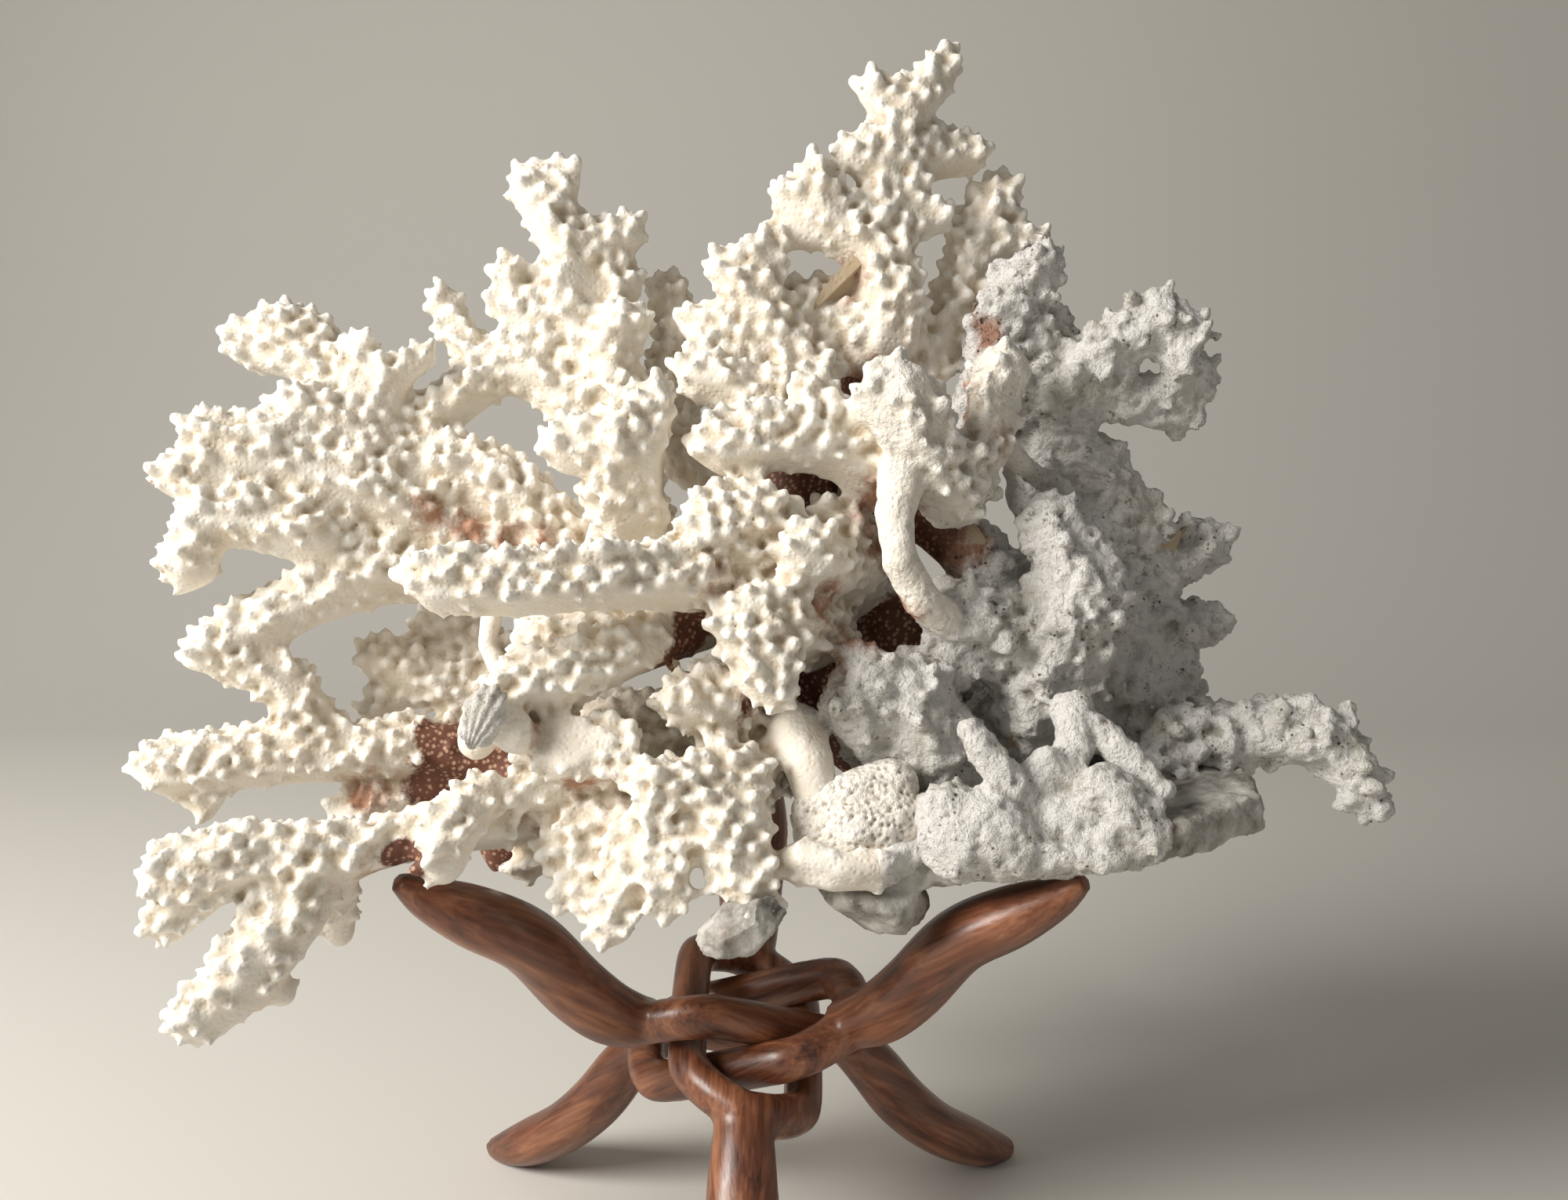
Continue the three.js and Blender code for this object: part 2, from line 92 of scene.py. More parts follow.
coralLook = {
    "knobTop": "#f4f2ec",
    "knobEnd": "#f4f0e8",
    "body": "#e6dfd2",
    # valleyShade is painted shade: the buff in the hollows between knobs, partly the coral's own
    # colour
    "valleyShade": "#b9a88e",
    "tint": "#f8efe1",
    "skin": "#6e4738",
    "skinDot": "#b8937c",
    "stain": "#a3673f",
    # pore: dark dots painted as pores, the painted shade of holes the surface doesn't have
    "pore": "#4b4238",
    # crevice: partly the darker tone of worn crust, partly painted shade in the low spots of the
    # crumbs bump
    "crevice": "#989082",
    "chalkTop": "#efece7",
    "chalk": "#f0ede9",
    # chalkShade is painted shade in the hollows of dead growth
    "chalkShade": "#b3ada3",
    "chalkMoss": "#b3ae95",
    # sizes of the patterns, in millimetres
    "mottleSize": 9,
    "grainSize": 0.9,
    "cupSpacing": 1.4,
    "blotSize": 5,
    "mossSize": 16,
    "crumbSize": 1.9,
    "poreSpacing": 2.1,
    # how ragged a painted zone's edge is, and the values between which it fades in
    "edges": {"skin": (0.9, 0.85, 1.0), "dead": (0.5, 0.5, 0.85), "stain": (2.2, 1.45, 2.1)},
    "stainStrength": 0.85,
    "crumbDepth": 2.2,
    "grainDepth": 0.4,
    "cupDepth": 0.5,
    "roughness": 0.62,
    "ior": 1.53,
    "specular": 0.35,
}


def makeCoralMaterial():
    # Bleached knob coral as it grew: matt, near white on the knobs' ends and buff between them; the
    # buff, deeper in the hollows, is partly its own colour and partly painted shade, and the whiter
    # proud tops are partly painted highlight.
    # Brown dried skin dotted with pale cups on the stems, rust stains, and chalky dead growth.
    look = coralLook
    material, tree, shader, spot = newMaterial("knob_coral_grown_skeleton")
    mask = {
        name: addNode(tree, "ShaderNodeAttribute", attribute_name=name).outputs["Fac"]
        for name in ("relief", "skin", "stain", "dead")
    }
    pattern = {
        name: addNode(
            tree,
            "ShaderNodeTexNoise",
            {"Vector": spot, "Scale": 1 / (size * mm), "Detail": detail, "Roughness": rough},
        ).outputs["Fac"]
        for name, size, detail, rough in (
            ("mottle", look["mottleSize"], 4.0, 0.6),
            ("grain", look["grainSize"], 3.0, 0.6),
            ("blots", look["blotSize"], 5.0, 0.65),
            ("moss", look["mossSize"], 6.0, 0.7),
            ("crumbs", look["crumbSize"], 5.0, 0.7),
        )
    }
    dots = {
        name: addNode(
            tree,
            "ShaderNodeTexVoronoi",
            {"Vector": spot, "Scale": 1 / (spacing * mm), "Randomness": wander},
        ).outputs["Distance"]
        for name, spacing, wander in (
            ("cups", look["cupSpacing"], 0.75),
            ("pores", look["poreSpacing"], 1.0),
        )
    }
    cover = {}
    for name, (ragged, low, high) in look["edges"].items():
        torn = addNode(
            tree,
            "ShaderNodeMath",
            {0: pattern["blots"], 1: ragged, 2: mask[name]},
            operation="MULTIPLY_ADD",
        ).outputs[0]
        cover[name] = addNode(
            tree, "ShaderNodeMapRange", {"Value": torn, "From Min": low, "From Max": high}
        ).outputs["Result"]
    cover["stain"] = addNode(
        tree,
        "ShaderNodeMath",
        {0: cover["stain"], 1: look["stainStrength"]},
        operation="MULTIPLY",
    ).outputs[0]

    # each ramp: what it follows, and its marks
    # ridge follows how proud the surface stands; the live and chalk ramps paint hollows darker and
    # proud knobs lighter, partly real colour and partly painted shade and highlight
    ridge = addNode(
        tree,
        "ShaderNodeMath",
        {0: pattern["grain"], 1: 0.25, 2: mask["relief"]},
        operation="MULTIPLY_ADD",
    ).outputs[0]
    tone = {
        name: addNode(tree, "ShaderNodeValToRGB", {"Fac": value}, stops=stops).outputs["Color"]
        for name, value, stops in (
            (
                "live",
                ridge,
                [
                    (0.22, look["valleyShade"]),
                    (0.5, look["body"]),
                    (0.78, look["knobEnd"]),
                    (1.0, look["knobTop"]),
                ],
            ),
            ("tint", pattern["mottle"], [(0.3, look["tint"]), (0.6, "#ffffff")]),
            ("cupDots", dots["cups"], [(0.26, 1.0), (0.44, 0.0)]),
            (
                "chalk",
                ridge,
                [(0.25, look["chalkShade"]), (0.5, look["chalk"]), (0.8, look["chalkTop"])],
            ),
            ("moss", pattern["moss"], [(0.52, 0.0), (0.7, 0.6)]),
            # painted shade of pores: dark dots where the surface has no holes
            ("pores", dots["pores"], [(0.1, 1.0), (0.24, 0.0)]),
            ("worn", pattern["blots"], [(0.5, 0.0), (0.6, 1.0)]),
            # painted shade in the low spots of the crumbs bump, over the worn crust's darker tone
            ("crevice", pattern["crumbs"], [(0.36, look["crevice"]), (0.47, "#ffffff")]),
        )
    }
    wornPoreShade = addNode(
        tree, "ShaderNodeMath", {0: tone["pores"], 1: tone["worn"]}, operation="MULTIPLY"
    ).outputs[0]

    # each layer: its name, how much of it, what it lies on, its colour, and how it is laid on
    for name, amount, under, over, blend in (
        ("living", 0.55, "live", "tint", "MULTIPLY"),
        ("dotted", tone["cupDots"], "skin", "skinDot", "MIX"),
        ("skinned", cover["skin"], "living", "dotted", "MIX"),
        ("mossy", tone["moss"], "chalk", "chalkMoss", "MIX"),
        # the worn patches get painted pore shade and, multiplied in, painted crevice shade over
        # their darker crust
        ("pored", wornPoreShade, "mossy", "pore", "MIX"),
        ("creviced", tone["worn"], "pored", "crevice", "MULTIPLY"),
        ("grown", cover["dead"], "skinned", "creviced", "MIX"),
        ("stained", cover["stain"], "grown", "stain", "MULTIPLY"),
    ):
        under, over = [tone[key] if key in tone else linear(look[key]) for key in (under, over)]
        tone[name] = addNode(
            tree,
            "ShaderNodeMix",
            {0: amount, 6: under, 7: over},
            data_type="RGBA",
            blend_type=blend,
        ).outputs[2]
    tree.links.new(tone["stained"], shader.inputs["Base Color"])

    cupEdge = addNode(
        tree, "ShaderNodeMapRange", {"Value": dots["cups"], "From Min": 0.0, "From Max": 0.5}
    ).outputs["Result"]
    crumbling = addNode(
        tree,
        "ShaderNodeMath",
        {0: pattern["crumbs"], 1: cover["dead"]},
        operation="MULTIPLY",
    ).outputs[0]
    bump = addNode(
        tree,
        "ShaderNodeBump",
        {"Height": crumbling, "Strength": 1.0, "Distance": look["crumbDepth"] * mm},
    ).outputs["Normal"]
    for height, depth in ((pattern["grain"], look["grainDepth"]), (cupEdge, look["cupDepth"])):
        bump = addNode(
            tree,
            "ShaderNodeBump",
            {"Height": height, "Strength": 0.35, "Distance": depth * mm, "Normal": bump},
        ).outputs["Normal"]
    tree.links.new(bump, shader.inputs["Normal"])
    shader.inputs["Roughness"].default_value = look["roughness"]
    shader.inputs["IOR"].default_value = look["ior"]
    shader.inputs["Specular IOR Level"].default_value = look["specular"]
    return material


# What covers each solid: (knobs, dead lumps, chalky look, brown skin), each from 0 to 1.
# A solid that isn't named is live branch, with knobs alone.
covering = {
    "trunk": (0.1, 0.0, 0.1, 1.0),
    "stem_left": (0.5, 0.0, 0.0, 0.55),
    "stem_up": (0.2, 0.0, 0.0, 1.0),
    "dead_trunk": (0.15, 0.3, 1.0, 0.0),
    "dead_column": (0.8, 0.3, 0.75, 0.0),
    "arm_upper_right": (0.6, 0.6, 1.0, 0.0),
    "dead_wall": (0.25, 0.6, 1.0, 0.0),
    "blade_right": (0.5, 0.6, 1.0, 0.0),
    "dead_front": (0.1, 0.7, 1.0, 0.0),
    "dead_shoulder": (0.3, 0.8, 0.9, 0.0),
    "arm_right": (0.35, 0.6, 1.0, 0.0),
    "cluster_right_centre": (0.8, 0.25, 0.35, 0.0),
    "worm_pillar": (0.0, 0.05, 0.3, 0.0),
    "grey_centre": (0.35, 0.5, 0.9, 0.0),
    "honeycomb_mound": (0.0, 0.0, 0.6, 0.0),
    "lump_round": (0.05, 0.6, 0.8, 0.0),
    "knobs_smooth": (0.0, 0.05, 0.7, 0.0),
    "lumps_encrusted": (0.1, 1.0, 0.9, 0.0),
    "rear_right": (0.5, 0.5, 1.0, 0.0),
    "rear_right_low": (0.5, 0.5, 1.0, 0.0),
    "pillar_smooth": (0.1, 0.0, 0.0, 0.0),
}
liveCovering = (1.0, 0.0, 0.0, 0.0)

# Solids that are made as close growths, not as rounded limbs.
closeNodes = ["worm_pillar", "honeycomb_mound", "lump_round", "knobs_smooth"]
closeNodes += ["lumps_encrusted", "pillar_smooth"]

# Each piece of the colony and the solids it stands for.
coralPieces = {
    "coral_stems": ["trunk", "stem_left", "stem_up", "stem_upper_left"],
    "coral_arms_left": ["arm_left_long", "branch_left_mid", "club_left", "stub_left_rear"],
    "coral_upper_left": ["branch_left_high", "club_upper_left", "branch_upper_left"],
    "coral_crown_left": ["tall_left", "ridge_mid_left", "branch_up_centre", "crown_left"],
    "coral_crown_right": ["column_upper", "crown_top", "branch_upper_right", "knobs_centre_high"],
    "coral_front": [
        "column_front", "branch_front_long", "mass_centre", "lobes_centre", "branch_front_low",
    ],
    "coral_low_centre": [
        "lobes_low_centre",
        "body_low_front",
        "broken_branch",
        "fingers_low_left",
        "fingers_low_right",
        "pillar_smooth",
    ],
    "coral_arm_low": ["arm_low_front", "arm_low_down"],
    "dead_upper": [
        "dead_column", "arm_upper_right", "blade_right", "cluster_right_centre", "worm_pillar",
    ],
    "dead_body": ["dead_trunk", "dead_wall", "dead_front", "dead_shoulder", "arm_right"],
    "dead_lumps": ["grey_centre", "lump_round", "knobs_smooth", "lumps_encrusted"],
    "coral_rear_left": ["rear_low_left", "rear_mid_left", "rear_high_left"],
    "coral_rear_centre": ["rear_low", "rear_high", "rear_mid"],
    "dead_rear": ["rear_right", "rear_right_low"],
}

# Short side lobes, each a few stops of [x, y, z, radius].
sideLobes = [
    [[-72, -1, 119, 6], [-89, -8, 116, 6], [-97, -10, 115, 4.5]],
    [[-124, -15, 124, 5], [-127, -16, 117, 4]],
    [[-114, -8, 200, 7], [-132, -10, 196, 6.5]],
    [[-87, 4, 207, 5.5], [-85, 5, 218, 5], [-77, 5, 224, 4.5]],
    [[-86, 5, 218, 5], [-93, 5, 226, 4.5]],
    [[-108, 14, 224, 8], [-123, 17, 227, 7]],
    [[-80, 8, 143, 6], [-93, 6, 137, 5]],
    [[-47, 20, 260, 6], [-44, 20, 268, 5]],
    [[-41, 18, 248, 7], [-30, 20, 254, 6.5]],
    [[-40, 17, 236, 6], [-30, 18, 241, 6]],
    [[2, 6, 239, 7], [5, 6, 248, 6]],
    [[35, 13, 255, 7], [41, 14, 263, 5.5]],
    [[36, 13, 255, 6], [47, 14, 257, 5]],
    [[38, 16, 282, 6], [31, 15, 287, 5.5]],
    [[35, 15, 271, 7], [26, 12, 272, 6]],
    [[20, 9, 258, 6], [10, 10, 262, 5.5]],
    [[20, 10, 254, 6], [10, 10, 253, 5]],
    [[56, 22, 250, 6], [72, 22, 253, 5]],
    [[4, 2, 214, 8], [16, 4, 218, 8]],
    [[98, 2, 233, 6], [105, 2, 229, 6], [103, 0, 222, 5]],
    [[98, 8, 212, 6], [108, 10, 210, 5.5]],
    [[40, -22, 208, 8], [30, -22, 213, 7]],
    [[36, -18, 150, 6], [54, -14, 154, 6.5]],
    [[-102, -53, 93, 5], [-98, -51, 87, 4.5]],
    [[-88, -42, 110, 6], [-91, -33, 100, 5.5], [-92, -30, 93, 5]],
    [[-58, -38, 126, 6.5], [-63, -45, 120, 7.5], [-64, -46, 114, 6]],
    [[-30, -22, 126, 7], [-43, -30, 127, 6.5], [-50, -33, 126, 5]],
    [[145, -10, 125, 6], [148, -10, 119, 5.5]],
    [[-44, -34, 137, 6.5], [-37, -36, 136, 8], [-29, -34, 136, 8]],
    [[-4, -20, 182, 8], [3, -22, 189, 7.5]],
    [[84, 10, 168, 8], [92, 12, 160, 7]],
    [[26, 14, 202, 9], [40, 14, 190, 9], [56, 10, 176, 9], [66, 8, 164, 9]],
    [[44, 14, 186, 8], [50, 12, 200, 7], [58, 12, 212, 7]],
    [[30, 14, 176, 9], [38, 14, 160, 9], [40, 10, 142, 9]],
]

# Smooth and encrusted growths put on once the limbs are rounded: (crust from 0 to 1, stops).
closeGrowths = [
    (
        0.05,
        [[48, -22, 163, 4.6], [40, -28, 169, 4.4], [35, -30, 178, 4.2]]
        + [[34, -26, 188, 4.6], [36, -22, 198, 6]],
    ),
    (0.8, [[46, -40, 122, 8.5], [48, -43, 117.5, 8.5]]),
    (0.1, [[53, -42, 121, 9.5], [58, -43, 117.5, 8.5], [64, -41, 116, 7], [71, -40, 115, 6.5]]),
    (
        0.0,
        [[60, -38, 121, 6], [60, -40, 128, 4.6], [56, -41, 134, 3.8]]
        + [[52, -40, 139, 3.6], [50, -39, 142, 3]],
    ),
    (0.0, [[66, -32, 122, 8], [65, -36, 129, 5.5], [67, -37, 134, 4.2]]),
    (0.0, [[70, -32, 124, 8], [71, -35, 131, 5], [74, -33, 137, 4.4], [75, -28, 145, 4.2]]),
    (0.15, [[73, -27, 144, 4.2], [79, -31, 140, 3.9], [85, -35, 135, 3.7], [92, -40, 129, 3]]),
    (0.05, [[69, -38, 121, 8.5], [78, -40, 119, 8.5], [84, -40, 117, 7]]),
    (1.0, [[78, -42, 131, 4.5], [83, -43, 126, 6], [88, -42, 119, 6.5]]),
    (0.0, [[76, -43, 130, 4]]),
    (0.9, [[66, -46, 116, 3.6], [74, -47, 115.5, 3.6], [84, -45, 116, 4]]),
    (1.0, [[12, -42, 113, 4.6], [20, -45, 111.5, 4], [29, -44, 111.5, 4], [36, -40, 114, 4]]),
    (1.0, [[14, -45, 116, 3.4], [22, -47, 114, 3.2], [31, -46, 114, 3.2]]),
    (0.1, [[12, -22, 138, 7], [15, -28, 132, 6], [17, -32, 124, 5], [21, -36, 116, 5]]),
    (0.7, [[-50, -30, 149, 6], [-56, -32, 144, 6], [-59, -32, 138, 4.5]]),
    (0.0, [[-33, -5, 186, 3.2], [-36, -6, 179, 2.3], [-39, -7, 171, 3.2]]),
    (0.0, [[-60, -7, 162, 2.8], [-61, -9, 156, 2.2], [-57, -10, 149, 3]]),
    (0.0, [[2, -20, 190, 2.4], [12, -20, 190, 2.4]]),
    (0.2, [[62, 0, 202, 3.4], [69, 0, 196, 2.4], [77, 2, 190, 3.6]]),
    (0.9, [[58, -8, 214, 6], [60, -9, 220, 6.5]]),
    (0.0, [[-47, -39, 141, 3.4]]),
    (0.0, [[-49, -41, 142, 5], [-53, -42, 146, 5]]),
]

# A branch broken across: a flat face through a point, turned to face along a direction.
brokenFace = {"middle": [-36, -41, 138], "facing": [-0.1, -0.8, 0.58], "radius": 11.5}

# Places on the colony with dried brown skin or rust stains: [x, y, z, radius].
skinZones = [
    [44, 13, 184, 15],
    [38, 13, 158, 13],
    [-9, -20, 164, 8],
    [-13, -20, 153, 9],
    [-4, -23, 145, 8],
    [17, 5, 146, 13],
    [16, 3, 128, 12],
    [-57, -13, 123, 11],
    [-71, -9, 134, 9],
    [-72, -48, 115, 6],
    [-68, -2, 122, 17],
    [-60, -6, 106, 11],
    [-13, 2, 154, 12],
    [-2, -10, 149, 8],
    [-5, 4, 197, 9],
    [46, -5, 204, 5],
    [26, 0, 140, 17],
]
stainZones = [
    [-75, -4, 187, 6],
    [-65, -5, 183, 7],
    [-56, -5, 180, 6],
    [-90, -12, 121, 7],
    [-80, -42, 113, 8],
    [-8, -25, 172, 8],
    [24, 6, 242, 7],
    [33, -8, 180, 9],
    [46, 0, 183, 11],
    [51, 3, 191, 9],
    [20, -24, 168, 7],
    [27, -24, 162, 8],
    [23, -22, 152, 8],
    [-8, -26, 176, 7],
    [2, -24, 150, 9],
    [-46, -8, 179, 7],
    [30, 6, 219, 7],
    [25, -18, 152, 9],
    [33, -15, 190, 10],
    [51, -6, 212, 9],
    [57, 0, 229, 6],
    [48, 2, 180, 14],
    [-48, -39, 141, 5],
    [-36, -38, 129, 6],
    [-27, -38, 131, 5],
    [38, -28, 168, 5],
    [6, -10, 160, 9],
    [58, -12, 204, 6],
]

coralGrowth = {
    "coreVoxel": 1.1,
    "coreSmoothing": 18,
    "gapClosing": 0.35,
    "liveTrim": 0.95,  # the knobs' height is made up by taking this off the limbs
    "knobSpacing": 3.3,
    "knobRadius": 1.55,
    "knobLength": 1.45,
    "knobLift": 0.5,
    "lumpSpacing": 3.6,
    "lumpRadius": 2.1,
    "lumpLength": 1.0,
    "lumpLift": 0.05,
    "skinVoxel": 0.93,
    "skinSmoothing": 3,
    "capDepth": 2.4,  # a piece's hidden ends are sunk this far below the skin
    "knobSeed": 7,
    "lumpSeed": 19,
    "raggedSize": 14,
    "clumpSize": 22,
    "outwardLean": 0.5,
    "upLean": 0.3,
    "blendRounds": 12,  # how far one solid's covering fades into the next one's
    # reliefMiddle and reliefGain set how the material paints hollows darker and proud knobs lighter:
    # painted shade and highlight
    "reliefMiddle": 0.42,
    "reliefGain": 2.4,
}


def ringedLimb(shape, route, steps=5):
    # adds a round limb through the stops to a bmesh, as a run of close balls
    stops = [Vector(stop) for stop in route]
    spots = [low.lerp(high, s / steps) for low, high in zip(stops, stops[1:]) for s in range(steps)]
    for spot in spots + [stops[-1]]:
        bmesh.ops.create_icosphere(
            shape, subdivisions=2, radius=spot[3] * mm, matrix=Matrix.Translation(place(spot))
        )


def meshOf(node):
    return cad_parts[node].data


def meshFrom(name, shape):
    mesh = bpy.data.meshes.new(name)
    shape.to_mesh(mesh)
    shape.free()
    return mesh


def joinedShape(name, nodes, limbs, grow):
    # one mesh of several solids, each grown a little, and extra limbs
    shape = bmesh.new()
    for node in nodes:
        shape.from_mesh(meshOf(node))
    bmesh.ops.remove_doubles(shape, verts=shape.verts, dist=1e-6)
    shape.normal_update()
    moves = [(v, v.normal.copy()) for v in shape.verts]
    for vert, normal in moves:
        vert.co += normal * grow
    for route in limbs:
        ringedLimb(shape, route)
    return addObject(name, meshFrom(name, shape))


def addObject(name, mesh):
    piece = bpy.data.objects.new(name, mesh)
    scene.collection.objects.link(piece)
    return piece


def finish(piece, material, nodes):
    # gives a finished piece its material and its body, and hides the solids it stands for
    piece.data.materials.clear()
    piece.data.materials.append(material)
    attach(piece, "root")
    if nodes:
        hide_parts(*nodes)


def smoothFaces(mesh):
    mesh.polygons.foreach_set("use_smooth", [True] * len(mesh.polygons))


def settled(piece):
    # the piece with its modifiers applied, as a plain mesh
    graph = bpy.context.evaluated_depsgraph_get()
    mesh = bpy.data.meshes.new_from_object(piece.evaluated_get(graph))
    piece.modifiers.clear()
    piece.data = mesh
    return piece


def remeshed(piece, voxel, smoothing):
    skin = piece.modifiers.new("skin", "REMESH")
    skin.mode = "VOXEL"
    skin.voxel_size = voxel * mm
    soft = piece.modifiers.new("soften", "SMOOTH")
    soft.factor = 0.5
    soft.iterations = smoothing
    return piece


def pointsOf(mesh):
    spots = np.empty(len(mesh.vertices) * 3, np.float32)
    mesh.vertices.foreach_get("co", spots)
    normals = np.empty(len(mesh.vertices) * 3, np.float32)
    mesh.vertices.foreach_get("normal", normals)
    return spots.reshape(-1, 3), normals.reshape(-1, 3)


def edgesOf(mesh):
    ends = np.empty(len(mesh.edges) * 2, np.int32)
    mesh.edges.foreach_get("vertices", ends)
    return ends.reshape(-1, 2)


def spread(values, ends, rounds):
    # each value averaged with its neighbours', a number of times
    count = np.bincount(ends.ravel(), minlength=len(values)).astype(np.float32)
    count[count == 0] = 1
    for _ in range(rounds):
        total = np.bincount(ends[:, 0], values[ends[:, 1]], len(values))
        total += np.bincount(ends[:, 1], values[ends[:, 0]], len(values))
        values = 0.5 * values + 0.5 * total / count
    return values.astype(np.float32)


def smoothstep(low, high, values):
    t = np.clip((values - low) / (high - low), 0, 1)
    return t * t * (3 - 2 * t)


def zoneMask(spots, zones):
    mask = np.zeros(len(spots), np.float32)
    for zone in zones:
        middle = np.array(place(zone), np.float32)
        away = np.linalg.norm(spots - middle, axis=1) / (zone[3] * mm)
        mask = np.maximum(mask, 1 - smoothstep(0.2, 1.5, away))
    return mask


def nearestNodes():
    # a search tree of the frame's coral solids, and the node that each of its faces is from
    verts, faces, owners = [], [], []
    for nodes in coralPieces.values():
        for node in nodes:
            mesh = meshOf(node)
            first = len(verts)
            verts += [v.co.copy() for v in mesh.vertices]
            faces += [[first + i for i in p.vertices] for p in mesh.polygons]
            owners += [node] * len(mesh.polygons)
    return BVHTree.FromPolygons(verts, faces), owners


def setValues(mesh, name, values, kind="FLOAT"):
    layer = mesh.attributes.new(name, kind, "POINT")
    layer.data.foreach_set("vector" if kind == "FLOAT_VECTOR" else "value", values.ravel())


def makeScatterTree():
    # sets bulbs over a surface, leaning the way its "lean" says, and joins them to it
    tree = bpy.data.node_groups.new("coral_knobs", "GeometryNodeTree")
    face = tree.interface
    face.new_socket("Geometry", in_out="INPUT", socket_type="NodeSocketGeometry")
    for name, kind in (
        ("Spacing", "Float"),
        ("Radius", "Float"),
        ("Length", "Float"),
        ("Lift", "Float"),
        ("Seed", "Int"),
        ("Cover", "String"),
        ("Size", "String"),
        ("Material", "Material"),
    ):
        face.new_socket(name, in_out="INPUT", socket_type="NodeSocket" + kind)
    face.new_socket("Geometry", in_out="OUTPUT", socket_type="NodeSocketGeometry")
    given = addNode(tree, "NodeGroupInput").outputs
    cover = addNode(tree, "GeometryNodeInputNamedAttribute", {"Name": given["Cover"]}).outputs[0]
    points = addNode(
        tree,
        "GeometryNodeDistributePointsOnFaces",
        {
            "Mesh": given["Geometry"],
            "Distance Min": given["Spacing"],
            "Density Max": 4e5,
            "Density Factor": cover,
            "Seed": given["Seed"],
        },
        distribute_method="POISSON",
    )
    lean = addNode(
        tree, "GeometryNodeInputNamedAttribute", {"Name": "lean"}, data_type="FLOAT_VECTOR"
    ).outputs[0]
    size = addNode(tree, "GeometryNodeInputNamedAttribute", {"Name": given["Size"]}).outputs[0]
    chance = addNode(
        tree,
        "FunctionNodeRandomValue",
        {2: 0.72, 3: 1.28, "Seed": given["Seed"]},
        data_type="FLOAT",
    ).outputs[1]
    scale = addNode(tree, "ShaderNodeMath", {0: size, 1: chance}, operation="MULTIPLY").outputs[0]
    reach = addNode(
        tree, "ShaderNodeMath", {0: given["Radius"], 1: given["Lift"]}, operation="MULTIPLY"
    ).outputs[0]
    reach = addNode(tree, "ShaderNodeMath", {0: reach, 1: scale}, operation="MULTIPLY").outputs[0]
    offset = addNode(
        tree, "ShaderNodeVectorMath", {0: lean, "Scale": reach}, operation="SCALE"
    ).outputs[0]
    lifted = addNode(
        tree, "GeometryNodeSetPosition", {"Geometry": points.outputs["Points"], "Offset": offset}
    ).outputs[0]
    ball = addNode(
        tree, "GeometryNodeMeshIcoSphere", {"Radius": given["Radius"], "Subdivisions": 2}
    ).outputs[0]
    stretch = addNode(tree, "ShaderNodeCombineXYZ", {0: 1.0, 1: 1.0, 2: given["Length"]}).outputs[0]
    bulb = addNode(
        tree, "GeometryNodeTransform", {"Geometry": ball, "Scale": stretch}
    ).outputs[0]
    turn = addNode(
        tree, "FunctionNodeAlignRotationToVector", {"Vector": lean}, axis="Z"
    ).outputs[0]
    bulbs = addNode(
        tree,
        "GeometryNodeInstanceOnPoints",
        {"Points": lifted, "Instance": bulb, "Rotation": turn, "Scale": scale},
    ).outputs[0]
    real = addNode(tree, "GeometryNodeRealizeInstances", {"Geometry": bulbs}).outputs[0]
    whole = addNode(tree, "GeometryNodeJoinGeometry").inputs[0]
    tree.links.new(real, whole)
    tree.links.new(given["Geometry"], whole)
    done = addNode(
        tree,
        "GeometryNodeSetMaterial",
        {"Geometry": whole.node.outputs[0], "Material": given["Material"]},
    ).outputs[0]
    addNode(tree, "NodeGroupOutput", {"Geometry": done})
    return tree


def scatter(piece, tree, values):
    modifier = piece.modifiers.new(tree.name, "NODES")
    modifier.node_group = tree
    for item in tree.interface.items_tree:
        if item.in_out == "INPUT" and item.name in values:
            modifier[item.identifier] = values[item.name]


def coveringOf(mesh, search, owners):
    # each point's place, normal and solid, and that solid's covering, blended along the surface
    spots, normals = pointsOf(mesh)
    ends = edgesOf(mesh)
    names = np.array([owners[search.find_nearest(Vector(spot))[2]] for spot in spots])
    kinds = {name: covering.get(name, liveCovering) for name in set(owners)}
    values = np.array([kinds[name] for name in names], np.float32)
    rounds = coralGrowth["blendRounds"]
    values = np.stack([spread(values[:, i], ends, rounds) for i in range(4)], 1)
    return spots, normals, ends, names, values


def patches(spots, size, seed):
    # slow random values from 0 to 1, in patches of about this many millimetres
    shift = Vector((seed * 7.31, seed * 3.17, seed * 5.83))
    scale = 1 / (size * mm)
    return np.array([0.5 + 0.5 * noise.noise(Vector(s) * scale + shift) for s in spots], np.float32)


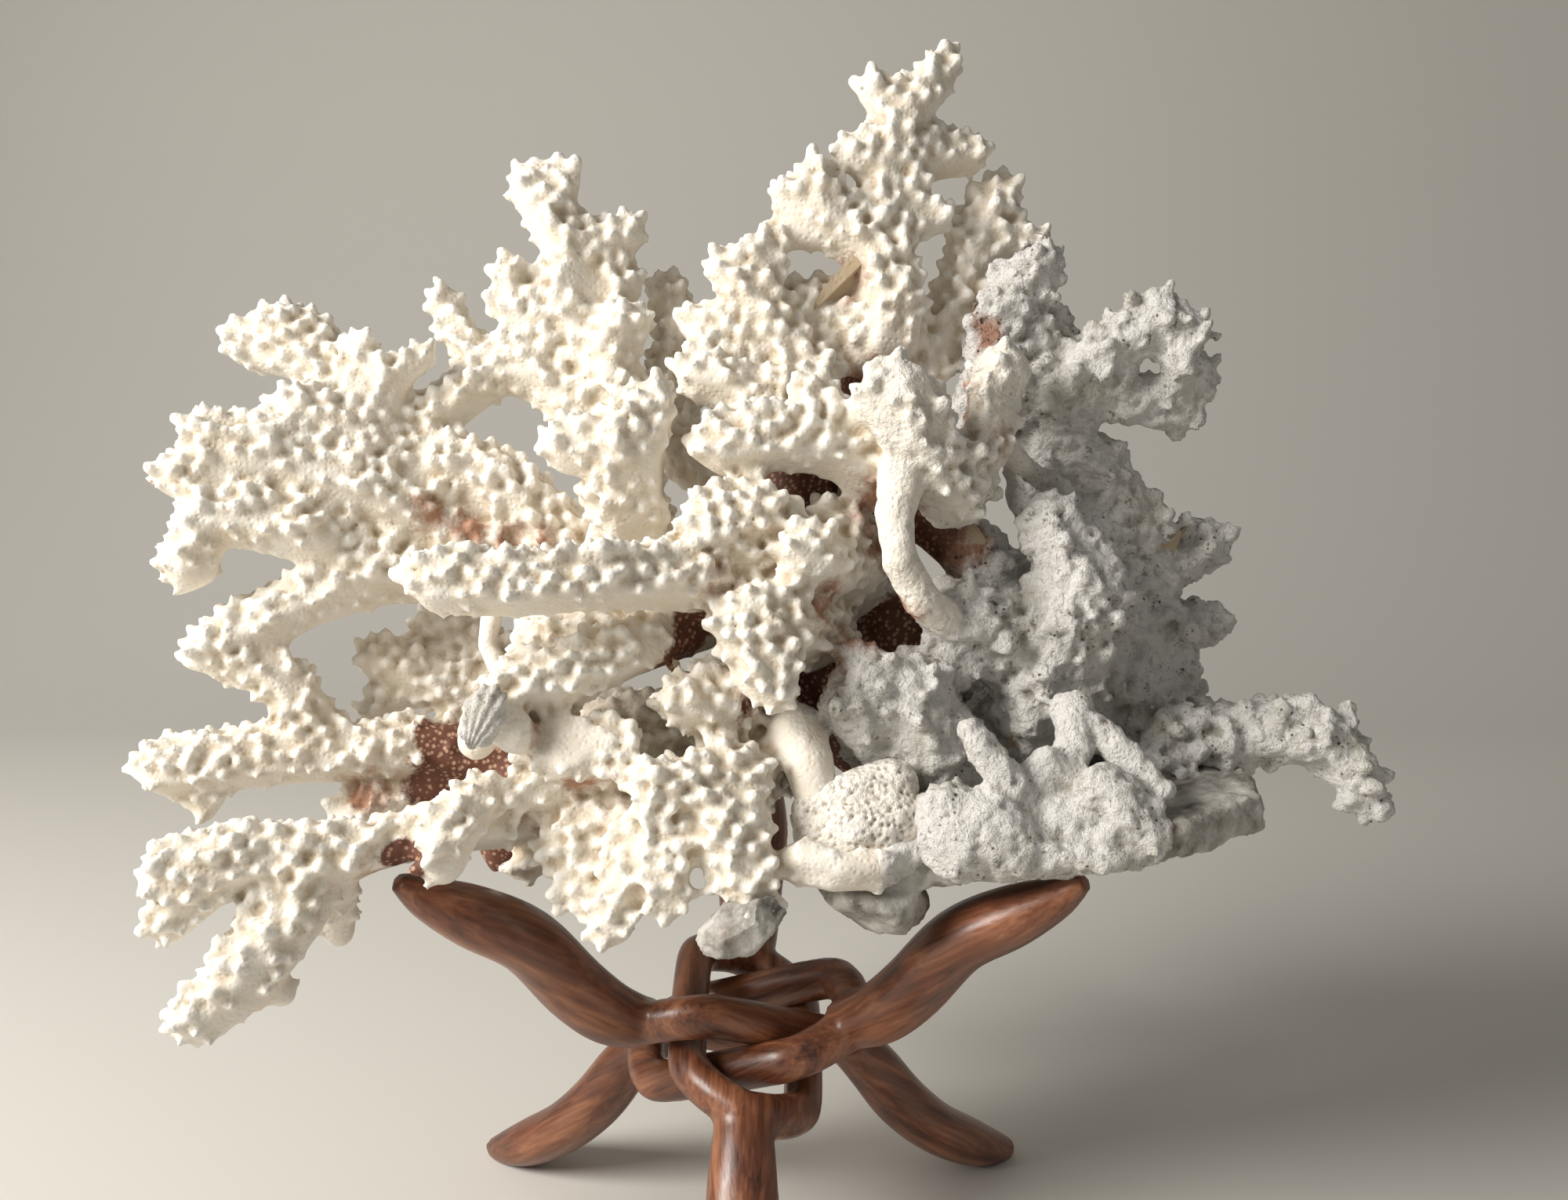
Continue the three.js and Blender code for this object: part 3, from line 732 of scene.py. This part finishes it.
def addGrowthValues(core, search, owners):
    # where knobs and dead lumps grow, how big, and which way they lean
    growth = coralGrowth
    mesh = core.data
    spots, normals, _, _, values = coveringOf(mesh, search, owners)
    knobs, lumps, _, skin = values.T
    skin = np.maximum(skin, zoneMask(spots, skinZones))
    middle = np.array((colonyMiddle + standAxis) * mm, np.float32)
    outward = spots - middle
    reach = np.linalg.norm(outward, axis=1, keepdims=True)
    outward /= np.maximum(reach, 1e-6)
    up = np.array([0, 0, 1], np.float32)
    facing = 0.6 * normals[:, 2] + 0.4 * (normals * outward).sum(1)
    exposed = smoothstep(-0.6, 0.35, facing)
    bare = smoothstep(0.25, 0.75, skin)
    ragged = patches(spots, growth["raggedSize"], 1)
    clumps = patches(spots, growth["clumpSize"], 2)
    knobCover = knobs * (0.45 + 0.55 * exposed) * (1 - 0.95 * bare)
    knobSize = (0.55 + 0.45 * exposed) * (0.8 + 0.4 * ragged)
    lumpCover = lumps * smoothstep(0.3, 0.65, clumps) * 0.9
    lean = normals + growth["outwardLean"] * outward + growth["upLean"] * up
    lean /= np.linalg.norm(lean, axis=1, keepdims=True)
    trim = growth["liveTrim"] * mm * np.clip(knobs, 0, 1)
    moved = spots - normals * trim[:, None]
    mesh.vertices.foreach_set("co", moved.ravel())
    for name, amounts in (
        ("knobCover", knobCover),
        ("knobSize", knobSize),
        ("lumpCover", lumpCover),
        ("lumpSize", 0.6 + 0.8 * ragged),
    ):
        setValues(mesh, name, np.ascontiguousarray(amounts, np.float32))
    setValues(mesh, "lean", lean.astype(np.float32), "FLOAT_VECTOR")


def bendOf(spots, normals, ends, voxel):
    # how far each point stands proud of its neighbours, over the voxel size
    total = np.zeros_like(spots)
    for axis in range(3):
        total[:, axis] = np.bincount(ends[:, 0], spots[ends[:, 1], axis], len(spots))
        total[:, axis] += np.bincount(ends[:, 1], spots[ends[:, 0], axis], len(spots))
    count = np.bincount(ends.ravel(), minlength=len(spots)).reshape(-1, 1)
    inward = total / np.maximum(count, 1) - spots
    bend = -(inward * normals).sum(1) / (voxel * mm)
    return spread(bend.astype(np.float32), ends, 2)


def addLookValues(mesh, search, owners):
    # masks that the coral material and the relief read
    spots, normals, ends, names, values = coveringOf(mesh, search, owners)
    chalk, skin = values[:, 2], values[:, 3]
    skin = np.maximum(skin, zoneMask(spots, skinZones))
    # the relief mask lets the material paint hollows darker and proud knobs lighter, as painted
    # shade and highlight
    bend = bendOf(spots, normals, ends, coralGrowth["skinVoxel"])
    relief = np.clip(coralGrowth["reliefMiddle"] + bend * coralGrowth["reliefGain"], 0, 1)
    for name, amounts in (
        ("relief", relief),
        ("skin", skin),
        ("stain", zoneMask(spots, stainZones)),
        ("dead", chalk),
    ):
        setValues(mesh, name, np.ascontiguousarray(amounts, np.float32))
    return names


def cutPieces(body, names, material):
    # One closed piece for each group of solids, its cuts closed by flat caps. Some caps span
    # open air between limbs and show, mostly from behind.
    growth = coralGrowth
    mesh = body.data
    groupOf = {node: i for i, nodes in enumerate(coralPieces.values()) for node in nodes}
    vertGroup = np.array([groupOf[name] for name in names])
    firsts = np.array([p.vertices[0] for p in mesh.polygons])
    faceGroup = vertGroup[firsts]
    for i, (name, nodes) in enumerate(coralPieces.items()):
        shape = bmesh.new()
        shape.from_mesh(mesh)
        shape.faces.ensure_lookup_table()
        others = [shape.faces[k] for k in np.nonzero(faceGroup != i)[0]]
        bmesh.ops.delete(shape, geom=others, context="FACES")
        rims = [edge for edge in shape.edges if edge.is_boundary]
        sunk = {}
        for vert in [v for edge in rims for v in edge.verts]:
            if vert not in sunk:
                sunk[vert] = shape.verts.new(vert.co - vert.normal * growth["capDepth"] * mm)
        for face in shape.faces:
            face.smooth = True
        for edge in rims:
            edge.smooth = False
            loop = edge.link_loops[0]
            a, b = loop.vert, loop.link_loop_next.vert
            shape.faces.new((b, a, sunk[a], sunk[b]))
        inner = [edge for edge in shape.edges if edge.is_boundary]
        bmesh.ops.holes_fill(shape, edges=inner, sides=0)
        bmesh.ops.triangulate(shape, faces=[f for f in shape.faces if len(f.verts) > 4])
        part = meshFrom(name, shape)
        finish(addObject(name, part), material, nodes)
        print("piece", name, len(part.polygons), "faces")


deadRelief = {
    "Amount": "dead",
    "Coarse": 2.4 * mm,
    "Coarse size": 6.5 * mm,
    "Fine": 1.1 * mm,
    "Fine size": 2.2 * mm,
    "Pits": 1.1 * mm,
    "Pit size": 4.5 * mm,
}


def makeReliefTree():
    # moves a surface in and out by ragged noise and scattered pits, as much as its mask says
    tree = bpy.data.node_groups.new("worn_relief", "GeometryNodeTree")
    face = tree.interface
    face.new_socket("Geometry", in_out="INPUT", socket_type="NodeSocketGeometry")
    face.new_socket("Amount", in_out="INPUT", socket_type="NodeSocketString")
    for name in ("Coarse", "Coarse size", "Fine", "Fine size", "Pits", "Pit size"):
        face.new_socket(name, in_out="INPUT", socket_type="NodeSocketFloat")
    for name, usual in (("Pit wander", 1.0), ("Pit edge", 0.34)):
        face.new_socket(name, in_out="INPUT", socket_type="NodeSocketFloat").default_value = usual
    face.new_socket("Geometry", in_out="OUTPUT", socket_type="NodeSocketGeometry")
    given = addNode(tree, "NodeGroupInput").outputs
    spot = addNode(tree, "GeometryNodeInputPosition").outputs[0]

    heights = []
    for amount, size, detail in (("Coarse", "Coarse size", 2.0), ("Fine", "Fine size", 3.0)):
        scale = addNode(
            tree, "ShaderNodeMath", {0: 1.0, 1: given[size]}, operation="DIVIDE"
        ).outputs[0]
        height = addNode(
            tree,
            "ShaderNodeTexNoise",
            {"Vector": spot, "Scale": scale, "Detail": detail, "Roughness": 0.6},
        ).outputs[0]
        for change, operation in ((0.5, "SUBTRACT"), (2.0, "MULTIPLY"), (given[amount], "MULTIPLY")):
            height = addNode(
                tree, "ShaderNodeMath", {0: height, 1: change}, operation=operation
            ).outputs[0]
        heights.append(height)
    pitScale = addNode(
        tree, "ShaderNodeMath", {0: 1.0, 1: given["Pit size"]}, operation="DIVIDE"
    ).outputs[0]
    holes = addNode(
        tree,
        "ShaderNodeTexVoronoi",
        {"Vector": spot, "Scale": pitScale, "Randomness": given["Pit wander"]},
    ).outputs["Distance"]
    pit = addNode(
        tree,
        "ShaderNodeMapRange",
        {
            "Value": holes,
            "From Min": 0.12,
            "From Max": given["Pit edge"],
            "To Min": 1.0,
            "To Max": 0.0,
        },
    ).outputs["Result"]
    pit = addNode(
        tree, "ShaderNodeMath", {0: pit, 1: given["Pits"]}, operation="MULTIPLY"
    ).outputs[0]
    mask = addNode(tree, "GeometryNodeInputNamedAttribute", {"Name": given["Amount"]}).outputs[0]
    height = heights[0]
    for change, operation in ((heights[1], "ADD"), (pit, "SUBTRACT"), (mask, "MULTIPLY")):
        height = addNode(
            tree, "ShaderNodeMath", {0: height, 1: change}, operation=operation
        ).outputs[0]
    normal = addNode(tree, "GeometryNodeInputNormal").outputs[0]
    offset = addNode(
        tree, "ShaderNodeVectorMath", {0: normal, "Scale": height}, operation="SCALE"
    ).outputs[0]
    moved = addNode(
        tree, "GeometryNodeSetPosition", {"Geometry": given["Geometry"], "Offset": offset}
    ).outputs[0]
    addNode(tree, "NodeGroupOutput", {"Geometry": moved})
    return tree


def roughen(piece, tree, values):
    scatter(piece, tree, values)
    return settled(piece)


def addCloseGrowths(core):
    # joins the smooth and encrusted growths to the rounded limbs
    joined = bmesh.new()
    joined.from_mesh(core.data)
    for crust, route in closeGrowths:
        shape = bmesh.new()
        ringedLimb(shape, route)
        mesh = meshFrom("close_growth", shape)
        count = len(mesh.vertices)
        amounts = {"knobCover": 0, "knobSize": 1, "lumpCover": crust, "lumpSize": 0.6}
        for name, amount in amounts.items():
            setValues(mesh, name, np.full(count, amount, np.float32))
        lean = np.tile(np.float32((0, -0.5, 0.6)), (count, 1))
        setValues(mesh, "lean", lean, "FLOAT_VECTOR")
        joined.from_mesh(mesh)
        bpy.data.meshes.remove(mesh)
    joined.to_mesh(core.data)
    joined.free()


def flattenBreak(core):
    # planes the broken branch flat
    middle = np.array(place(brokenFace["middle"]), np.float32)
    facing = np.array(Vector(brokenFace["facing"]).normalized(), np.float32)
    spots, normals = pointsOf(core.data)
    proud = (spots - middle) @ facing
    near = np.linalg.norm(spots - middle, axis=1) < brokenFace["radius"] * mm
    moved = spots - facing * (np.maximum(proud, 0) * near)[:, None]
    core.data.vertices.foreach_set("co", moved.ravel())


def makeCoral():
    material = makeCoralMaterial()
    growth = coralGrowth
    search, owners = nearestNodes()
    nodes = [node for group in coralPieces.values() for node in group if node not in closeNodes]
    core = joinedShape("coral_core", nodes, sideLobes, growth["gapClosing"] * mm)
    settled(remeshed(core, growth["coreVoxel"], growth["coreSmoothing"]))
    print("core", len(core.data.polygons), "faces")
    addGrowthValues(core, search, owners)
    addCloseGrowths(core)
    tree = makeScatterTree()
    for kind in ("knob", "lump"):
        values = {
            "Material": material,
            "Spacing": growth[kind + "Spacing"] * mm,
            "Radius": growth[kind + "Radius"] * mm,
            "Length": growth[kind + "Length"],
            "Lift": growth[kind + "Lift"],
            "Seed": growth[kind + "Seed"],
            "Cover": kind + "Cover",
            "Size": kind + "Size",
        }
        scatter(core, tree, values)
    settled(core)
    flattenBreak(core)
    print("knobs", len(core.data.polygons), "faces")
    settled(remeshed(core, growth["skinVoxel"], growth["skinSmoothing"]))
    print("colony", len(core.data.polygons), "faces")
    names = addLookValues(core.data, search, owners)
    roughen(core, makeReliefTree(), deadRelief)
    cutPieces(core, names, material)
    bpy.data.objects.remove(core)
    return material


honeycomb = {
    "limbs": [
        [[19, -33, 117, 8], [25, -34, 119, 10], [32, -33, 120, 10]],
        [[16, -33, 122, 5], [24, -33, 124, 7], [33, -31, 127, 7]],
    ],
    "voxel": 0.44,
    "smoothing": 6,
    "relief": {
        "Amount": "amount",
        "Coarse": 1.2 * mm,
        "Coarse size": 12 * mm,
        "Fine": 0.0,
        "Fine size": 2 * mm,
        "Pits": 0.8 * mm,
        "Pit size": 1.65 * mm,
        "Pit wander": 0.8,
        "Pit edge": 0.5,
    },
    "reliefGain": 1.5,
    "chalkiness": 0.35,
}


def makeHoneycomb(material):
    # a mound of another coral, pitted all over like a comb
    look = honeycomb
    shape = bmesh.new()
    for route in look["limbs"]:
        ringedLimb(shape, route)
    piece = addObject("honeycomb_patch", meshFrom("honeycomb_patch", shape))
    settled(remeshed(piece, look["voxel"], look["smoothing"]))
    count = len(piece.data.vertices)
    setValues(piece.data, "amount", np.ones(count, np.float32))
    roughen(piece, bpy.data.node_groups["worn_relief"], look["relief"])
    spots, normals = pointsOf(piece.data)
    # the relief mask paints the comb's pits darker and its rims lighter, as painted shade
    bend = bendOf(spots, normals, edgesOf(piece.data), look["voxel"])
    relief = np.clip(0.5 + bend * look["reliefGain"], 0, 1).astype(np.float32)
    setValues(piece.data, "relief", relief)
    setValues(piece.data, "dead", np.full(count, look["chalkiness"], np.float32))
    smoothFaces(piece.data)
    finish(piece, material, ["honeycomb_mound"])


shellLook = {
    "middle": [-54.5, -46, 146.5],
    "radii": [4.6, 2.6, 7.2],
    "lean": 24,
    "ribs": 11,
    "ribDepth": 0.07,
    "hinge": 1.3,  # how far below the middle the ribs meet, in radii
    "steps": 16,
    "stepDepth": 0.04,
    "around": 96,
    "upwards": 28,
    "chalkiness": 0.8,
}


def makeShell(material):
    # an empty barnacle-like shell grown on the tip of a limb, ribbed from its hinge
    look = shellLook
    shape = bmesh.new()
    bmesh.ops.create_uvsphere(
        shape, u_segments=look["around"], v_segments=look["upwards"], radius=1
    )
    turn = Matrix.Rotation(math.radians(look["lean"]), 3, "Y")
    for vert in shape.verts:
        side = math.atan2(vert.co.x, vert.co.z + look["hinge"])
        rib = 1 + look["ribDepth"] * math.cos(side * look["ribs"] * 2)
        step = 1 + look["stepDepth"] * math.sin(vert.co.z * look["steps"])
        spot = turn @ Vector([c * r for c, r in zip(vert.co, look["radii"])]) * rib * step
        vert.co = place(Vector(look["middle"]) + spot)
    mesh = meshFrom("crescent_shell", shape)
    piece = addObject("crescent_shell", mesh)
    count = len(mesh.vertices)
    setValues(mesh, "relief", np.full(count, 0.5, np.float32))
    setValues(mesh, "dead", np.full(count, look["chalkiness"], np.float32))
    smoothFaces(mesh)
    finish(piece, material, [])


print("coral")
coralMaterial = makeCoral()
makeHoneycomb(coralMaterial)
makeShell(coralMaterial)

linkTurns = {"stand_link_rear": 90, "stand_link_left": 210, "stand_link_right": 330}

linkShape = {
    "armRise": 5.8,
    "armHalf": 4.8,
    "armDepth": 5.3,
    "ringHalfWidth": 14,
    "ringMiddle": 57,
    "ringClimb": 7.5,
    "forkReach": 28,
    "sole": 2.0,
    "voxel": 1.15,
    "smoothing": 4,
}

# An arm of a ring leaves the link's middle line and comes back to it: (along, share of its bow).
ringStops = ((-30, 0), (-26, 0.5), (-21, 0.86), (-14, 1), (14, 1), (21, 0.86), (26, 0.5), (30, 0))

# Stops along a link, as [along, height, half width, half depth].
linkFoot = [
    [-25, 49.5, 5.4, 5.2],
    [-31, 46, 7, 6.2],
    [-38, 38.5, 8, 7],
    [-47, 27, 9, 7.3],
    [-58, 16.8, 9.8, 7.0],
    [-70, 9.4, 8.4, 6.4],
    [-79, 5.4, 5.6, 4.6],
    [-85, 3.8, 2.6, 2.4],
]
linkHead = [
    [25, 64.5, 5.4, 5.2],
    [31, 66, 7, 6.6],
    [38, 69.8, 8, 7.6],
    [46, 77.5, 9, 7.9],
    [57, 90.5, 10.6, 7.6],
    [70, 98.6, 9.4, 7.0],
    [80, 104.5, 6.0, 4.8],
    [86.5, 109.5, 2.8, 2.2],
]

woodLook = {
    "dark": "#3f2217",
    "middle": "#7a482f",
    "light": "#a87250",
    "grainWidth": 0.9,
    "grainLength": 20,
    "grainSlope": 32,  # the grain runs from the foot's tip to the head's tip
    "bandSize": 4,
    "wearSize": 14,
    "grainDepth": 0.3,
    "roughness": 0.36,
    "ior": 1.5,
    "coat": 0.25,
    "coatRoughness": 0.25,
}


def makeWoodMaterial(name, turn):
    # Carved and oiled hardwood: red-brown with long darker grain, satin where hands have worn it
    look = woodLook
    material, tree, shader, spot = newMaterial(name)
    stretched = spot
    for change in (
        {"Rotation": (0, 0, math.radians(-turn))},
        {"Rotation": (0, math.radians(look["grainSlope"]), 0)},
        {"Scale": (look["grainWidth"] / look["grainLength"], 1, 0.8)},
    ):
        stretched = addNode(
            tree, "ShaderNodeMapping", {"Vector": stretched, **change}, vector_type="POINT"
        ).outputs[0]
    grain, bands = [
        addNode(
            tree,
            "ShaderNodeTexNoise",
            {"Vector": stretched, "Scale": 1 / (size * mm), "Detail": detail, "Distortion": bent},
        ).outputs["Fac"]
        for size, detail, bent in ((look["grainWidth"], 5.0, 0.4), (look["bandSize"], 3.0, 0.3))
    ]
    wear = addNode(
        tree,
        "ShaderNodeTexNoise",
        {"Vector": spot, "Scale": 1 / (look["wearSize"] * mm), "Detail": 4.0},
    ).outputs["Fac"]
    fibres = addNode(
        tree, "ShaderNodeMath", {0: grain, 1: 0.35}, operation="MULTIPLY"
    ).outputs[0]
    figure = addNode(
        tree, "ShaderNodeMath", {0: bands, 1: 0.65, 2: fibres}, operation="MULTIPLY_ADD"
    ).outputs[0]
    tone = addNode(
        tree,
        "ShaderNodeValToRGB",
        {"Fac": figure},
        stops=[(0.33, look["dark"]), (0.5, look["middle"]), (0.68, look["light"])],
    ).outputs["Color"]
    shade = addNode(
        tree,
        "ShaderNodeMapRange",
        {"Value": wear, "From Min": 0.3, "From Max": 0.7, "To Min": 0.72, "To Max": 1.1},
    ).outputs["Result"]
    colour = addNode(
        tree, "ShaderNodeVectorMath", {0: tone, "Scale": shade}, operation="SCALE"
    ).outputs[0]
    tree.links.new(colour, shader.inputs["Base Color"])
    gloss = addNode(
        tree,
        "ShaderNodeMapRange",
        {
            "Value": grain,
            "From Min": 0.3,
            "From Max": 0.7,
            "To Min": look["roughness"] - 0.07,
            "To Max": look["roughness"] + 0.14,
        },
    ).outputs["Result"]
    tree.links.new(gloss, shader.inputs["Roughness"])
    carved = addNode(
        tree,
        "ShaderNodeBump",
        {"Height": grain, "Strength": 0.35, "Distance": look["grainDepth"] * mm},
    ).outputs["Normal"]
    tree.links.new(carved, shader.inputs["Normal"])
    shader.inputs["IOR"].default_value = look["ior"]
    shader.inputs["Coat Weight"].default_value = look["coat"]
    shader.inputs["Coat Roughness"].default_value = look["coatRoughness"]
    return material


def smoothRoute(stops, steps):
    # more stops along a smooth curve through the given ones
    rows = [np.array(stop, float) for stop in stops]
    rows = [2 * rows[0] - rows[1], *rows, 2 * rows[-1] - rows[-2]]
    found = []
    for a, b, c, d in zip(rows, rows[1:], rows[2:], rows[3:]):
        for k in range(steps):
            t = k / steps
            bend = (2 * a - 5 * b + 4 * c - d) * t**2
            twist = (3 * b - a - 3 * c + d) * t**3
            found.append(0.5 * (2 * b + (c - a) * t + bend + twist))
    found.append(rows[-2])
    return found


def sweptBar(shape, stops, across, sides=20):
    # a closed bar through [x, y, z, half width, half depth], its width turned to lie across
    rows = smoothRoute(stops, 5)
    spots = [Vector(row[:3]) for row in rows]
    rings = []
    for i, row in enumerate(rows):
        ahead = (spots[min(i + 1, len(rows) - 1)] - spots[max(i - 1, 0)]).normalized()
        lift = across.cross(ahead).normalized()
        side = ahead.cross(lift)
        ring = []
        for k in range(sides):
            turn = 2 * math.pi * k / sides
            spot = spots[i] + side * (row[3] * math.cos(turn)) + lift * (row[4] * math.sin(turn))
            ring.append(shape.verts.new((spot + standAxis) * mm))
        rings.append(ring)
    for low, high in zip(rings, rings[1:]):
        for k in range(sides):
            n = (k + 1) % sides
            shape.faces.new((low[k], low[n], high[n], high[k]))
    shape.faces.new(rings[0][::-1])
    shape.faces.new(rings[-1])


def makeLink(name, turn):
    size = linkShape
    heading = math.radians(turn)
    across = Vector((-math.sin(heading), math.cos(heading), 0))
    forward = Vector((math.cos(heading), math.sin(heading), 0))

    def stopAt(out, offset, height, halfWidth, halfDepth):
        spot = forward * out + across * offset
        return [spot.x, spot.y, height, halfWidth, halfDepth]

    shape = bmesh.new()
    for blade in (linkFoot, linkHead):
        sweptBar(shape, [stopAt(out, 0, *rest) for out, *rest in blade], across)
    for side in (1, -1):
        arm = []
        for out, share in ringStops:
            climb = size["ringClimb"] * math.sin(out / size["forkReach"] * math.pi / 2)
            height = size["ringMiddle"] + climb + side * size["armRise"] * share
            offset = side * size["ringHalfWidth"] * share
            arm.append(stopAt(out, offset, height, size["armHalf"], size["armDepth"]))
        sweptBar(shape, arm, across)
    bmesh.ops.recalc_face_normals(shape, faces=shape.faces)
    piece = addObject(name + "_carved", meshFrom(name + "_carved", shape))
    settled(remeshed(piece, size["voxel"], size["smoothing"]))
    floor = (size["sole"] + standAxis.z) * mm
    for vert in piece.data.vertices:
        vert.co.z = max(vert.co.z, floor)
    smoothFaces(piece.data)
    material = makeWoodMaterial("oiled_hardwood_carved_" + name.split("_")[-1], turn)
    finish(piece, material, [name])


print("stand")
for linkName, linkTurn in linkTurns.items():
    makeLink(linkName, linkTurn)

rockLook = {
    "face": "#a7a39b",
    "shade": "#6f6a64",
    "crust": "#cfccc6",
    "rust": "#c79f86",
    # sizes of the patterns, in millimetres
    "mottleSize": 9,
    "rustSize": 21,
    "gritSize": 1.1,
    "gritDepth": 0.7,
    "roughness": 0.88,
}

rockRelief = {
    "Amount": "amount",
    "Coarse": 2.2 * mm,
    "Coarse size": 14.0 * mm,
    "Fine": 0.9 * mm,
    "Fine size": 3.2 * mm,
    "Pits": 0.9 * mm,
    "Pit size": 5.0 * mm,
}


def makeRockMaterial():
    # Dead reef limestone, broken and weathered: grey and pitted, with paler crust and a little rust
    look = rockLook
    material, tree, shader, spot = newMaterial("reef_limestone_broken")
    mottle, rust, grit = [
        addNode(
            tree,
            "ShaderNodeTexNoise",
            {"Vector": spot, "Scale": 1 / (size * mm), "Detail": detail, "Roughness": 0.65},
        ).outputs["Fac"]
        for size, detail in (
            (look["mottleSize"], 6.0),
            (look["rustSize"], 5.0),
            (look["gritSize"], 5.0),
        )
    ]
    base, rust = [
        addNode(tree, "ShaderNodeValToRGB", {"Fac": value}, stops=stops).outputs["Color"]
        for value, stops in (
            (mottle, [(0.34, look["shade"]), (0.5, look["face"]), (0.66, look["crust"])]),
            (rust, [(0.6, "#ffffff"), (0.72, look["rust"])]),
        )
    ]
    colour = addNode(
        tree, "ShaderNodeMix", {0: 0.8, 6: base, 7: rust}, data_type="RGBA", blend_type="MULTIPLY"
    ).outputs[2]
    tree.links.new(colour, shader.inputs["Base Color"])
    bumps = addNode(
        tree,
        "ShaderNodeBump",
        {"Height": grit, "Strength": 0.6, "Distance": look["gritDepth"] * mm},
    ).outputs["Normal"]
    tree.links.new(bumps, shader.inputs["Normal"])
    shader.inputs["Roughness"].default_value = look["roughness"]
    return material


rockVoxels = {"base_plate": 1.25, "rock_chip": 0.6}


def makeRock(node, name, material):
    piece = joinedShape(name, [node], [], 0)
    settled(remeshed(piece, rockVoxels[node], 3))
    setValues(piece.data, "amount", np.ones(len(piece.data.vertices), np.float32))
    roughen(piece, bpy.data.node_groups["worn_relief"], rockRelief)
    smoothFaces(piece.data)
    finish(piece, material, [node])


print("rock")
rockMaterial = makeRockMaterial()
makeRock("base_plate", "reef_slab", rockMaterial)
makeRock("rock_chip", "reef_chip", rockMaterial)

# Sizes and places of the stage are in metres.
stageLook = {
    "floor": "#d3d0ca",
    "floorRoughness": 0.9,
    "halfWidth": 3.0,
    "front": 1.5,
    "back": 1.1,
    "bend": 0.5,
    "height": 2.5,
    "keyEnergy": 15.0,
    "keySize": 0.55,
    "keyPlace": (-0.76, -0.42, 0.62),
    "keyAim": (0, 0, 0.15),
    "keyColour": "#fffbf5",
    "fillColour": "#f2efe9",
    "fillStrength": 0.27,
}

# The camera stands this far from the stand's axis, in millimetres, and looks down a little.
cameraLook = {"spot": (9.4, -357, 211), "downTilt": 7.26, "lens": 34.2, "sensor": 36}


def makeStage():
    look = stageLook
    material, tree, shader, spot = newMaterial("matt_paper_sweep")
    shader.inputs["Base Color"].default_value = linear(look["floor"])
    shader.inputs["Roughness"].default_value = look["floorRoughness"]
    shape = bmesh.new()
    radius, start = look["bend"], look["back"] - look["bend"]
    turns = [math.radians(d) for d in range(9, 91, 9)]
    profile = [(-look["front"], 0.0), (start, 0.0)]
    profile += [(start + radius * math.sin(a), radius - radius * math.cos(a)) for a in turns]
    profile += [(look["back"], look["height"])]
    sides = (-look["halfWidth"], look["halfWidth"])
    rows = [[shape.verts.new((x, y, z)) for x in sides] for y, z in profile]
    for low, high in zip(rows, rows[1:]):
        shape.faces.new((low[0], low[1], high[1], high[0])).smooth = True
    mesh = meshFrom("floor_sweep", shape)
    mesh.materials.append(material)
    addObject("floor_sweep", mesh)


def makeLight():
    # soft light from a window at the upper left
    look = stageLook
    lamp = bpy.data.lights.new("window", "AREA")
    lamp.energy = look["keyEnergy"]
    lamp.shape = "DISK"
    lamp.size = look["keySize"]
    lamp.color = linear(look["keyColour"])[:3]
    light = bpy.data.objects.new("window", lamp)
    light.location = look["keyPlace"]
    aim = Vector(look["keyAim"]) - Vector(look["keyPlace"])
    light.rotation_euler = aim.to_track_quat("-Z", "Y").to_euler()
    scene.collection.objects.link(light)
    world = bpy.data.worlds.new("soft_room")
    world.use_nodes = True
    back = world.node_tree.nodes["Background"]
    back.inputs["Color"].default_value = linear(look["fillColour"])
    back.inputs["Strength"].default_value = look["fillStrength"]
    scene.world = world


def makeCamera():
    lens = bpy.data.cameras.new("camera")
    lens.sensor_width = cameraLook["sensor"]
    lens.lens = cameraLook["lens"]
    lens.clip_start = 0.01
    camera = bpy.data.objects.new("camera", lens)
    camera.location = place(cameraLook["spot"])
    camera.rotation_euler = (math.radians(90 - cameraLook["downTilt"]), 0, 0)
    scene.collection.objects.link(camera)
    scene.camera = camera


print("stage")
makeStage()
makeLight()
makeCamera()
scene.view_settings.view_transform = "Standard"
